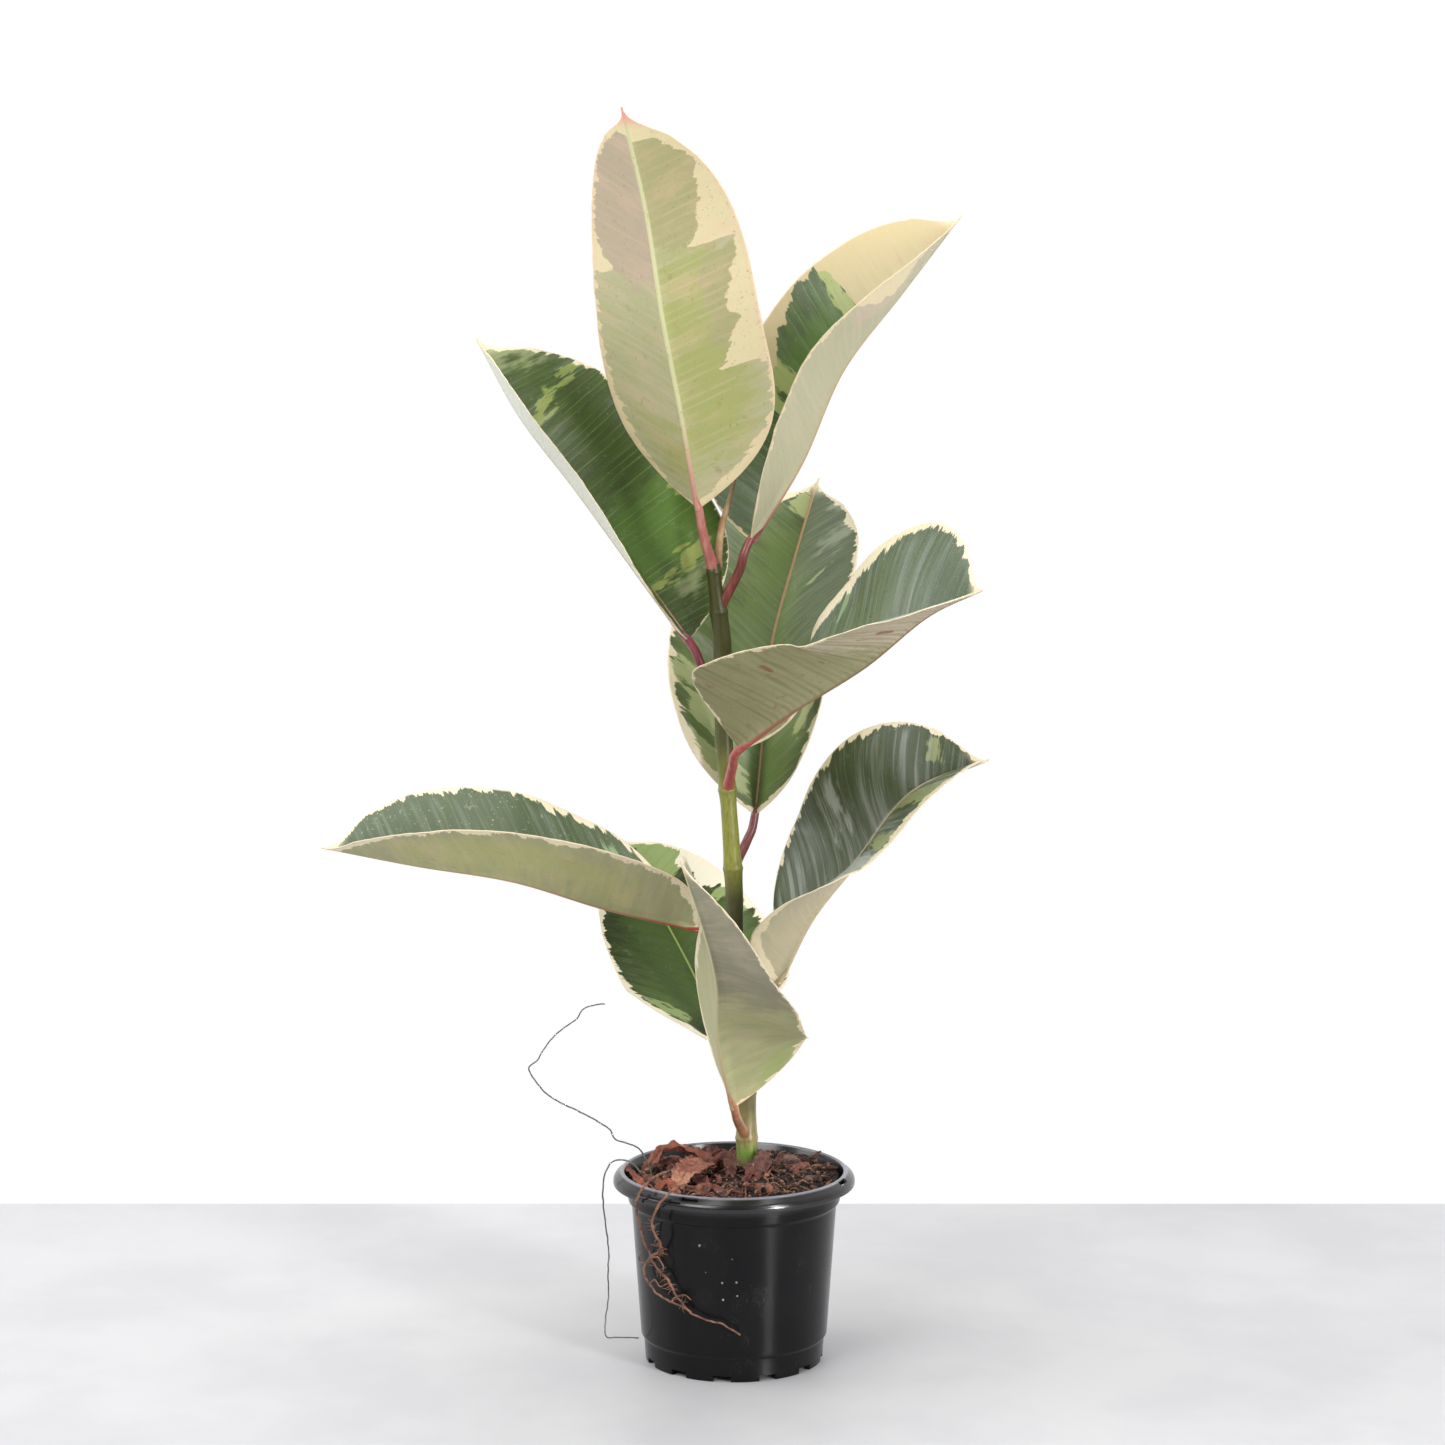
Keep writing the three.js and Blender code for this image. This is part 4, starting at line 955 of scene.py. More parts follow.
class LeafPattern:
    """Builds the node group that colours a blade from the fields that its mesh carries."""

    def __init__(self):
        inputs = [(label, COLOUR) for label in LEAF_COLOURS] + [(label, VALUE) for label in LEAF_VALUES]
        outputs = [("Colour", COLOUR), ("Height", VALUE)]
        self.group, given, out = node_group("leaf pattern", inputs, outputs)
        self.of = given.outputs
        self.across = attribute(self.group, "across")
        self.vein = attribute(self.group, "vein")
        self.edge = attribute(self.group, "edge")
        self.streaks = self.along_veins(*STREAKS)
        self.jag = plus(
            self.group, times(self.group, self.streaks, 0.013),
            times(self.group, self.along_veins(*FINE_TEETH), 0.004),
            times(self.group, self.along_veins(*BROAD_TEETH), 0.009))
        self.mottle = rise(self.group, self.along_veins(*MOTTLE), -0.06, 0.22)
        self.pale = self.mask("cream", 0.0006, 1.2)
        self.from_vein, self.boldness = self.side_veins()
        lit = blend(self.group, self.pale, self.ground(), self.cream())
        lit = self.with_marks(self.with_rim_and_rib(self.with_veins(lit)))
        self.group.links.new(lit, out.inputs["Colour"])
        self.group.links.new(self.relief(), out.inputs["Height"])

    def along_veins(self, scale_with, scale_across, detail):
        """Noise about zero that is drawn out along the side veins."""
        where = coordinates(
            self.group, times(self.group, self.vein, scale_with),
            times(self.group, self.across, scale_across), self.of["Seed"])
        return minus(self.group, cloud(self.group, where, 1, detail, 0.6), 0.5)

    def inside(self, field, raggedness):
        """How far inside a patch or margin a point lies, once its border is ragged."""
        return plus(self.group, attribute(self.group, field), times(self.group, self.jag, raggedness))

    def mask(self, field, softness, raggedness):
        return rise(self.group, self.inside(field, raggedness), -softness, softness)

    def ground(self):
        """The green of the blade with its patches, its painted sheen and its blush."""
        group, of = self.group, self.of
        waver = times(group, rise(group, self.streaks, -0.15, 0.15), 0.3)
        lit = blend(group, waver, of["Deep"], of["Fresh"])
        for label, softness, raggedness in GROUND_PATCHES:
            lit = blend(group, self.mask(label.lower(), softness, raggedness), lit, of[label])
        inner = rise(group, self.edge, 0.001, 0.012)
        # Painted sheen: grey streaks along the side veins stand in for light reflected off the glossy blade
        clouds = rise(group, self.along_veins(*PAINTED_SHEEN), -0.03, 0.22)
        lit = blend(group, times(group, clouds, inner, of["Bloom"]), lit, of["Grey"])
        return blend(group, times(group, self.mottle, of["Blush"]), lit, of["Peach"])

    def cream(self):
        """The cream of the margins, tinged with peach along its border, the rim and in clouds."""
        group, of = self.group, self.of
        border = times(group, near(group, self.inside("cream", 1.0), 0.0002, 0.0025), 0.35)
        margin = times(group, near(group, self.edge, 0.0008, 0.005), 0.4)
        tinge = calc(group, "MAXIMUM", border, margin, times(group, self.mottle, 0.4))
        return blend(group, tinge, of["Cream"], of["Peach"])

    def side_veins(self):
        """How far a point lies from the nearest side vein, and how bold that vein is there."""
        group, of = self.group, self.of
        order = plus(group, calc(group, "DIVIDE", self.vein, of["Vein Spacing"]),
                     times(group, self.streaks, 0.6))
        off_middle = calc(group, "ABSOLUTE", minus(group, calc(group, "FRACT", order), 0.5))
        each = coordinates(group, times(group, calc(group, "FLOOR", order), 7.31), of["Seed"],
                           times(group, self.across, 22))
        boldness = rise(group, cloud(group, each, 1, 1, 0.5), 0.3, 0.7)
        return times(group, off_middle, of["Vein Spacing"]), boldness

    def with_veins(self, lit):
        group, of = self.group, self.of
        line = near(group, self.from_vein, 0.0001, of["Vein Width"])
        shown = minus(group, 1, times(group, self.pale, 0.85))
        share = times(group, line, of["Vein Strength"], shown, self.boldness)
        return blend(group, share, lit, of["Vein"])

    def with_rim_and_rib(self, lit):
        """The rim's line, the midrib with its foot, and the drip tip."""
        group, of = self.group, self.of
        lit = blend(group, times(group, near(group, self.edge, 0.0003, 0.001), 0.7), lit, of["Rim"])
        foot = rise(group, attribute(group, "along"), 0.004, 0.07)
        rib_colour = blend(group, foot, of["Foot"], of["Rib"])
        off_rib = calc(group, "DIVIDE", calc(group, "ABSOLUTE", self.across), of["Rib Width"])
        lit = blend(group, near(group, off_rib, 0.5, 1.0), lit, rib_colour)
        return blend(group, near(group, attribute(group, "tip"), 0.003, 0.014), lit, of["Tip"])

    def with_marks(self, lit):
        """Specks, stains and the larger spots."""
        group, of = self.group, self.of
        where = place_in_object(group)
        specks = rise(group, cloud(group, where, 700, 2, 0.5), 0.66, 0.72)
        stains = times(group, rise(group, cloud(group, where, 150, 4, 0.65), 0.6, 0.72), 0.6)
        strewn = times(group, calc(group, "MAXIMUM", specks, stains), of["Specks"])
        spots = times(group, self.mask("spot", 0.0012, 0.5), 0.85)
        return blend(group, calc(group, "MAXIMUM", spots, strewn), lit, of["Speck"])

    def relief(self):
        """The height that swells between the side veins and runs in fine streaks."""
        group, of = self.group, self.of
        pillow = rise(group, self.from_vein, 0.0, times(group, of["Vein Spacing"], 0.5))
        swell = times(group, pillow, plus(group, self.boldness, 0.25))
        return plus(group, swell, times(group, self.streaks, 0.8))


leaf_pattern = LeafPattern().group


def leaf_material(name, colours, seed, finish):
    """One side of a blade: the leaf pattern with its colours and finish, over a fine grain."""
    made, tree, shader = material(name, specular_ior_level=finish["gloss"])
    pattern = tree.nodes.new("ShaderNodeGroup")
    pattern.node_tree = leaf_pattern
    for label in LEAF_COLOURS:
        pattern.inputs[label].default_value = colour(colours[label.lower()])
    pattern.inputs["Seed"].default_value = seed
    for label in LEAF_VALUES[1:]:
        pattern.inputs[label].default_value = finish[label.lower().replace(" ", "_")]
    tree.links.new(pattern.outputs["Colour"], shader.inputs["Base Color"])
    fine, _ = grain(tree, 260, detail=3)
    rough = put(tree, "ShaderNodeMapRange", {
        "Value": fine, "From Min": 0.3, "From Max": 0.7, "To Min": finish["roughness"] - 0.04,
        "To Max": finish["roughness"] + 0.06,
    }).outputs[0]
    tree.links.new(rough, shader.inputs["Roughness"])
    height = plus(tree, times(tree, pattern.outputs["Height"], finish["relief"]), times(tree, fine, 0.12))
    roughen(tree, shader, height, 0.00035, 0.8)
    return made


def piece(name, shape, materials, nodes=()):
    """A finished mesh as an object of the part, standing for the CAD nodes that it replaces."""
    mesh = bpy.data.meshes.new(name)
    for face in shape.faces:
        face.smooth = True
    shape.to_mesh(mesh)
    shape.free()
    for finish in materials:
        mesh.materials.append(finish)
    made = bpy.data.objects.new(name, mesh)
    bpy.context.collection.objects.link(made)
    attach(made, "root")
    if nodes:
        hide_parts(*nodes)
    return made


def close_ends(shape):
    """Merges a rolled sheet's seam, closes its open ends and turns its faces out."""
    bmesh.ops.remove_doubles(shape, verts=shape.verts, dist=1e-7)
    open_edges = [edge for edge in shape.edges if edge.is_boundary]
    bmesh.ops.holes_fill(shape, edges=open_edges)
    bmesh.ops.recalc_face_normals(shape, faces=shape.faces)


def rolled_grid(shape, rows, columns):
    """The corners of a sheet rolled flat, across its upper side and back underneath: each with its
    row, its column and whether it lies underneath."""
    around = 2 * columns + 2
    bmesh.ops.create_grid(shape, x_segments=around, y_segments=rows, size=0.5)
    for corner in shape.verts:
        row = round((corner.co.y + 0.5) * rows)
        step = round((corner.co.x + 0.5) * around) % around
        under = step > columns
        yield corner, row, 2 * columns + 1 - step if under else step, under


def crosswise(path):
    """A pair of directions square to a path at each of its points, turning as little as may be."""
    steps = [(b - a).normalized() for a, b in zip(path, path[1:])]
    tangents = [steps[0]] + [(a + b).normalized() for a, b in zip(steps, steps[1:])] + [steps[-1]]
    side = tangents[0].orthogonal().normalized()
    pairs = []
    for tangent in tangents:
        side = (side - tangent * side.dot(tangent)).normalized()
        pairs.append((side, tangent.cross(side)))
    return pairs


def tube(path, radius_at, sides):
    """A round closed tube along a path; radius_at gives the radius at a share and an angle."""
    shape = bmesh.new()
    steps = len(path) - 1
    bmesh.ops.create_grid(shape, x_segments=sides, y_segments=steps, size=0.5)
    pairs = crosswise(path)
    for corner in shape.verts:
        step = round((corner.co.y + 0.5) * steps)
        turn = math.tau * (round((corner.co.x + 0.5) * sides) % sides) / sides
        side, other = pairs[step]
        radius = radius_at(step / steps, turn)
        corner.co = path[step] + side * radius * math.cos(turn) + other * radius * math.sin(turn)
    close_ends(shape)
    return shape


def stem_at(height):
    for sample in range(STEM_SAMPLES + 1):
        point = stem_route.point(sample / STEM_SAMPLES)
        if point.z >= height:
            return point


stem_route = Route(STEM_POINTS)


def leaf_route(leaf):
    """The way of a leaf from the middle of the stem to its tip, with the stalk's bend eased."""
    foot = stem_at(leaf["node"])
    bend, base = (Vector(point) for point in leaf["way"][:2])
    eased = bend.lerp(foot.lerp(base, STALK_BEND_SHARE), STALK_EASE)
    return Route([foot, eased, *leaf["way"][1:]], LEAF_CURVE_PARTS)


def stalk_share(route):
    """Share of the whole way, from the stem to the tip, that is stalk."""
    spans = len(route.points) - 1
    return route.lengths[LEAF_CURVE_PARTS * STALK_SPANS // spans] / route.length


def half_width(leaf, share, length):
    """Half the width of a blade laid flat, at a share of its length."""
    left = (1 - share) * length
    if left < TIP_REACH - 1e-6:
        shoulder = half_width(leaf, 1 - TIP_REACH / length, length)
        part = left / TIP_REACH
        drawn = TIP_HOLLOW * part ** 3 * (4 - 3 * part) + (1 - TIP_HOLLOW) * part
        return max(shoulder * drawn, LEAST_HALF_WIDTH)
    body = min(share / (1 - DRIP_TIP / length), 1)
    to_base = max(1 - body / leaf["widest"], 0)
    to_tip = max((body - leaf["widest"]) / (1 - leaf["widest"]), 0)
    width = leaf["width"] * (1 - to_base ** 3) * math.sqrt(1 - to_tip ** 4)
    base = BASE_HALF_WIDTH * max(1 - share / BASE_SHARE, 0)
    return max(width, base, LEAST_HALF_WIDTH)


class Station:
    """The place, directions, angles and width of a blade at a share of its length."""

    def __init__(self, leaf, route, start, share, width):
        at = start + (1 - start) * share
        self.share = share
        self.place = route.point(at)
        self.along = route.tangent(at)
        faces = Vector(leaf["faces"])
        up = (faces - self.along * faces.dot(self.along)).normalized()
        right = self.along.cross(up)
        turn = math.radians(smoothly(leaf["twist"], share))
        self.up = up * math.cos(turn) + right * math.sin(turn)
        self.right = right * math.cos(turn) - up * math.sin(turn)
        self.fold = math.radians(smoothly(leaf["fold"], share))
        self.lean = math.radians(smoothly(leaf.get("lean", (0, 0, 0)), share))
        self.width = width
        self.sag = 0
        if "belly" in leaf:
            belly = leaf["belly"]
            self.sag = belly["depth"] * math.exp(-((share - belly["at"]) / belly["spread"]) ** 2)

    def upper(self, column):
        """A point of the upper side and the way out of the blade there, at a column from -1 to 1."""
        side = math.copysign(1, column)
        share = abs(column)
        start = self.fold - BLADE_CURL / 2
        angle = start + BLADE_CURL * share
        across = (math.sin(angle) - math.sin(start)) / BLADE_CURL * self.width
        height = (math.cos(start) - math.cos(angle)) / BLADE_CURL * self.width
        if side > 0:
            height -= self.sag * math.sin(math.pi * share)
        point = self.place + self.right * side * across * math.cos(self.lean)
        point += self.along * across * math.sin(self.lean) + self.up * height
        out = self.up * math.cos(angle) - self.right * side * math.sin(angle)
        return point, out


def row_share(even):
    """Rows stand closer together towards both ends."""
    return ROW_EVENNESS * even + (1 - ROW_EVENNESS) * (1 - math.cos(math.pi * even)) / 2


def column_shares(width):
    """Columns from -1 to 1: some over the midrib's ridge, then even ones, and one at the rim."""
    rib = min(RIDGE_HALF_WIDTH / width, RIDGE_WIDEST_SHARE)
    half = [rib * column / RIB_COLUMNS for column in range(RIB_COLUMNS)]
    half += [lerp(rib, RIM_COLUMN, column / (HALF_COLUMNS - 1)) for column in range(HALF_COLUMNS)]
    half.append(1)
    return [-share for share in reversed(half[1:])] + half


# A field says how far inside a patch or margin a point lies, up to this distance either way
FIELD_REACH = 0.02
PATCH_ROUNDNESS = 0.8
PATCH_KINDS = ("fresh", "light", "grey", "spot")
FIELDS = ("across", "along", "tip", "vein", "edge", "cream", *PATCH_KINDS)


def inside_patches(patches, station, column, vein_share, length):
    """How far a point lies inside the nearest of some patches, in metres; negative outside."""
    best = -FIELD_REACH
    for middle, side, half_length, half_breadth in patches:
        if side * column < 0:
            continue
        ends = (half_length - abs(vein_share - middle)) * length
        sides = (half_breadth - abs(abs(column) - abs(side))) * station.width
        corner = PATCH_ROUNDNESS * min(half_length * length, half_breadth * station.width)
        beyond = math.hypot(max(corner - ends, 0), max(corner - sides, 0))
        best = max(best, min(ends, sides, corner - beyond))
    return best


def slant_of(marking, column):
    """How far the side veins run towards the tip for each step away from the midrib."""
    return marking["slant"][0 if column > 0 else 1]


def blade_fields(marking, station, column, length):
    """What the materials read at one point of a blade, in metres."""
    across = column * station.width
    along = station.share * length
    vein = along - abs(across) * slant_of(marking, column)
    edge = (1 - abs(column)) * station.width
    margin = marking["right"] if column > 0 else marking["left"]
    fields = dict(across=across, along=along, tip=length - along, vein=vein, edge=edge)
    fields["cream"] = min(between(margin, vein / length) - edge, FIELD_REACH)
    for kind in PATCH_KINDS:
        fields[kind] = inside_patches(marking.get(kind, ()), station, column, vein / length, length)
    return fields


def ripple(name, station, column, length):
    """Small unevenness of a blade: a swell between the side veins and a waved margin."""
    share = abs(column)
    across = share * station.width
    vein = station.share * length - across * slant_of(MARKINGS[name], column)
    ends = min(station.share, 1 - station.share) / RIPPLE_END_SHARE
    fade = min(across / RIPPLE_EASE, 1) * min(ends, 1)
    seed = sum(map(ord, name))
    change = 0.6 + noise.noise((vein * SWELL_CHANGE_SCALE, share * 2, seed))
    swell = SWELL_HEIGHT * math.sin(math.tau * vein / SWELL_SPACING) * change
    if column > 0:
        seed += 17
    wave = noise.noise((station.share * MARGIN_WAVES, seed, 0)) * MARGIN_WAVE_HEIGHT * share ** 3
    return (swell + wave) * fade


def blade_point(name, station, column, under, length):
    """A point of a blade, on its upper side or through its thickness and its midrib's ridge."""
    point, out = station.upper(column)
    point += out * ripple(name, station, column, length)
    across = abs(column) * station.width
    if not under:
        return point - station.up * GROOVE_DEPTH * math.exp(-(across / GROOVE_HALF_WIDTH) ** 2)
    thickness = lerp(BLADE_THICKNESS, EDGE_THICKNESS, abs(column) ** EDGE_POWER)
    ridge_half_width = min(RIDGE_HALF_WIDTH, RIDGE_WIDEST_SHARE * station.width)
    hump = max(1 - (across / ridge_half_width) ** 2, 0) ** 0.8
    return point - out * thickness - station.up * lerp(*RIDGE_DEPTH, station.share) * hump


def make_blade(name, finishes):
    """A blade as a flattened tube: across its upper side, round the rim and back underneath."""
    leaf = LEAVES[name]
    route = leaf_route(leaf)
    start = stalk_share(route)
    length = route.length * (1 - start)
    stations = []
    for row in range(BLADE_ROWS + 1):
        share = row_share(row / BLADE_ROWS)
        stations.append(Station(leaf, route, start, share, half_width(leaf, share, length)))
    shape = bmesh.new()
    layers = {field: shape.verts.layers.float.new(field) for field in FIELDS}
    underside = shape.verts.layers.int.new("under")
    columns = 2 * (RIB_COLUMNS + HALF_COLUMNS)
    for corner, row, index, under in rolled_grid(shape, BLADE_ROWS, columns):
        station = stations[row]
        column = column_shares(station.width)[index]
        corner[underside] = under
        corner.co = blade_point(name, station, column, under, length)
        for field, value in blade_fields(MARKINGS[name], station, column, length).items():
            corner[layers[field]] = value
    for face in shape.faces:
        face.material_index = int(all(corner[underside] for corner in face.verts))
    close_ends(shape)
    piece(name + "_blade", shape, finishes, [name])


def make_stalk(name, finish):
    """A leafstalk that swells at the stem and runs out under the blade's midrib."""
    leaf = LEAVES[name]
    route = leaf_route(leaf)
    reach = stalk_share(route)
    tail = STALK_TAIL / route.length
    base = Station(leaf, route, reach, 0, BASE_HALF_WIDTH)
    path = []
    for step in range(STALK_STEPS + 1):
        share = (reach + tail) * step / STALK_STEPS
        under = min(max(share - reach, 0) / tail, 1)
        path.append(route.point(share) - base.up * STALK_RADII[1] * math.sin(under * math.pi / 2))

    def radius_at(share, turn):
        out = share * (reach + tail)
        if out > reach:
            return lerp(STALK_RADII[1], STALK_TAIL_RADIUS, ((out - reach) / tail) ** 1.5)
        swell = STALK_FOOT_SWELL * math.exp(-(out * route.length / STALK_FOOT_REACH) ** 2)
        return lerp(*STALK_RADII, out / reach) + swell

    node = name.replace("leaf", "stalk")
    piece(node + "_skin", tube(path, radius_at, STALK_SIDES), [finish], [node])


def make_leaves():
    """Every blade with its two finishes, and its stalk."""
    for index, name in enumerate(LEAVES):
        marking = MARKINGS[name]
        upper = {**UPPER, **marking.get("upper", {})}
        under = {**UNDER, **marking.get("under", {})}
        upper_finish = {**UPPER_FINISH, **marking.get("upper_finish", {})}
        under_finish = {**UNDER_FINISH, **marking.get("under_finish", {})}
        seed = index * 3.7
        make_blade(name, [
            leaf_material(name + " upper", upper, seed, upper_finish),
            leaf_material(name + " under", under, seed + 1, under_finish),
        ])
        skin = plain_material(name + " stalk", *STALK_COLOURS[name], 230, 0.3, 0.00004, STALK_STREAKS)
        make_stalk(name, skin)


def make_stem(finish):
    """The stem, with a ring and a swelling at each joint."""
    path = [stem_route.point(step / STEM_STEPS) for step in range(STEM_STEPS + 1)]
    joints = [leaf["node"] for leaf in LEAVES.values()]

    def radius_at(share, turn):
        height = path[round(share * STEM_STEPS)].z
        radius = between(STEM_RADII, height)
        for joint in joints:
            for bulge, spread in JOINT_BULGES:
                radius += bulge * math.exp(-((height - joint) / spread) ** 2)
        return radius

    piece("stem_bark", tube(path, radius_at, STEM_SIDES), [finish], ["stem"])


def make_sheath(finish):
    """The dried sheath at the growing tip."""
    route = Route(SHEATH_POINTS)
    path = [route.point(step / SHEATH_STEPS) for step in range(SHEATH_STEPS + 1)]
    shape = tube(path, lambda share, turn: between(SHEATH_RADII, share), SHEATH_SIDES)
    piece("bud_sheath_skin", shape, [finish], ["bud_sheath"])


def plain_material(name, low, high, scale, roughness, relief, stretch=(1, 1, 1)):
    """A finish that wavers between two colours, with fine relief."""
    made, tree, shader = material(name, roughness=roughness)
    fine, share = grain(tree, scale, stretch=stretch)
    tree.links.new(blend(tree, share, colour(low), colour(high)), shader.inputs["Base Color"])
    roughen(tree, shader, fine, relief)
    return made


def stem_material():
    """Green bark that changes colour up the stem, with fine dark streaks."""
    made, tree, shader = material("stem bark", roughness=0.36)
    height = put(tree, "ShaderNodeSeparateXYZ", {0: place_in_object(tree)}).outputs[2]
    bark = colour_ramp(tree, calc(tree, "DIVIDE", height, STEM_COLOUR_HEIGHT), STEM_STOPS)
    fine, share = grain(tree, 700, (0.45, 0.7), stretch=STEM_STREAKS)
    lit = blend(tree, times(tree, share, 0.35), bark, colour("#2f3320"))
    tree.links.new(lit, shader.inputs["Base Color"])
    roughen(tree, shader, fine, 0.0003, 0.5)
    return made


def rounded(profile, radius, steps=4):
    """A profile whose corners are turned on small arcs."""
    points = [Vector(point) for point in profile]
    smooth = [points[0]]
    for before, corner, after in zip(points, points[1:], points[2:]):
        reach = min(radius, (before - corner).length * 0.45, (after - corner).length * 0.45)
        start = corner + (before - corner).normalized() * reach
        end = corner + (after - corner).normalized() * reach
        for step in range(steps + 1):
            share = step / steps
            smooth.append(start.lerp(corner, share).lerp(corner.lerp(end, share), share))
    return smooth + [points[-1]]


def pot_profile():
    skirt_foot = POT_HEIGHT - RIM_DEPTH
    shoulder_foot = skirt_foot - SHOULDER_HEIGHT
    step_top = FOOT_HEIGHT + 1.8 * MM
    return [
        (0, 0), (FLOOR_PAD_RADIUS, 0), (FLOOR_PAD_RADIUS + FLOOR_UNDERSIDE, FLOOR_UNDERSIDE),
        (FOOT_RADIUS - FOOT_RING_WIDTH, FLOOR_UNDERSIDE), (FOOT_RADIUS - FOOT_RING_WIDTH, 0),
        (FOOT_RADIUS, 0), (FOOT_RADIUS + 0.9 * MM, FOOT_HEIGHT), (BODY_BASE_RADIUS, step_top),
        (BODY_TOP_RADIUS, shoulder_foot - MM), (SHOULDER_RADIUS - 0.3 * MM, shoulder_foot + MM),
        (SHOULDER_RADIUS, skirt_foot - MM), (MOUTH_RADIUS + WALL, skirt_foot + 4.4 * MM),
        (RIM_RADIUS - SKIRT_WIDTH - 0.2 * MM, skirt_foot + 1.8 * MM),
        (RIM_RADIUS - SKIRT_WIDTH, skirt_foot), (RIM_RADIUS, skirt_foot),
        (RIM_RADIUS, skirt_foot + 2.6 * MM), (RIM_RADIUS - 0.8 * MM, POT_HEIGHT - 3.6 * MM),
        (MOUTH_RADIUS + 2.2 * MM, POT_HEIGHT - 0.5 * MM), (MOUTH_RADIUS + MM, POT_HEIGHT),
        (MOUTH_RADIUS, POT_HEIGHT - 0.6 * MM), *inner_wall(),
        (FOOT_RADIUS - WALL, FLOOR_TOP), (0, FLOOR_TOP),
    ]


def inner_wall():
    skirt_foot = POT_HEIGHT - RIM_DEPTH
    shoulder_foot = skirt_foot - SHOULDER_HEIGHT
    return [
        (SHOULDER_RADIUS - WALL, skirt_foot - 1.2 * MM),
        (SHOULDER_RADIUS - 0.3 * MM - WALL, shoulder_foot + 1.4 * MM),
        (BODY_TOP_RADIUS - WALL, shoulder_foot - 1.3 * MM),
        (BODY_BASE_RADIUS - WALL, FOOT_HEIGHT + 2.1 * MM),
        (FOOT_RADIUS + 0.9 * MM - WALL, FOOT_HEIGHT - 0.1 * MM),
    ]


def turn_profile(shape, points, angle=math.tau, steps=POT_STEPS, start=0.0, closed=False):
    """Spins a line or a filled outline of (radius, height) points about the pot's axis."""
    corners = [shape.verts.new((radius, 0, height)) for radius, height in points]
    if closed:
        geometry = [shape.faces.new(corners)]
        geometry += list(geometry[0].edges) + corners
    else:
        geometry = corners + [shape.edges.new(pair) for pair in zip(corners, corners[1:])]
    bmesh.ops.rotate(shape, verts=corners, cent=(0, 0, 0), matrix=Matrix.Rotation(start, 3, "Z"))
    bmesh.ops.spin(shape, geom=geometry, cent=(0, 0, 0), axis=(0, 0, 1), angle=angle, steps=steps,
                   use_merge=not closed)


def add_sector(shape, radii, angles, heights):
    inner, outer = radii
    bottom, top = heights
    outline = [(inner, bottom), (outer, bottom), (outer, top), (inner, top)]
    start, end = (math.radians(angle) for angle in angles)
    turn_profile(shape, outline, end - start, CUT_STEPS, start, closed=True)


def pot_cutters():
    shape = bmesh.new()
    for notch in range(NOTCH_COUNT):
        middle = NOTCH_START + 360 / NOTCH_COUNT * notch
        angles = (middle - NOTCH_SPREAD / 2, middle + NOTCH_SPREAD / 2)
        add_sector(shape, (NOTCH_INNER_RADIUS, FOOT_RADIUS + 2 * MM), angles, (-MM, NOTCH_HEIGHT))
    for middle in SLOT_ANGLES:
        angles = (middle - SLOT_SPREAD / 2, middle + SLOT_SPREAD / 2)
        add_sector(shape, SLOT_RADII, angles, (POT_HEIGHT - RIM_DEPTH - MM, POT_HEIGHT + MM))
    add_sector(shape, (LEDGE_RADIUS, RIM_RADIUS + MM), LEDGE_ANGLES, (LEDGE_TOP, POT_HEIGHT))
    bmesh.ops.recalc_face_normals(shape, faces=shape.faces)
    return shape


def cut_away(shape, cutters):
    """One mesh less another, as a new bmesh."""
    objects = []
    for name, part in (("body", shape), ("cutters", cutters)):
        mesh = bpy.data.meshes.new(name)
        part.to_mesh(mesh)
        part.free()
        objects.append(bpy.data.objects.new(name, mesh))
        bpy.context.collection.objects.link(objects[-1])
    body, tool = objects
    difference = body.modifiers.new("cut", "BOOLEAN")
    difference.operation = "DIFFERENCE"
    difference.solver = "EXACT"
    difference.object = tool
    result = bmesh.new()
    result.from_object(body, bpy.context.evaluated_depsgraph_get())
    for done in objects:
        mesh = done.data
        bpy.data.objects.remove(done)
        bpy.data.meshes.remove(mesh)
    return result


def make_pot(finish):
    """The pot as one turned shell, less its notches, its slots and the step in its rim."""
    shape = bmesh.new()
    turn_profile(shape, rounded(pot_profile(), POT_ROUNDING))
    bmesh.ops.remove_doubles(shape, verts=shape.verts, dist=1e-7)
    bmesh.ops.recalc_face_normals(shape, faces=shape.faces)
    made = piece("pot_shell", cut_away(shape, pot_cutters()), [finish], ["pot"])
    sharpen(made.data, POT_SHARP_ANGLE)


def sharpen(mesh, degrees):
    """Marks the edges that turn by more than an angle as sharp."""
    shape = bmesh.new()
    shape.from_mesh(mesh)
    for edge in shape.edges:
        if len(edge.link_faces) == 2:
            edge.smooth = edge.calc_face_angle() < math.radians(degrees)
    shape.to_mesh(mesh)
    shape.free()


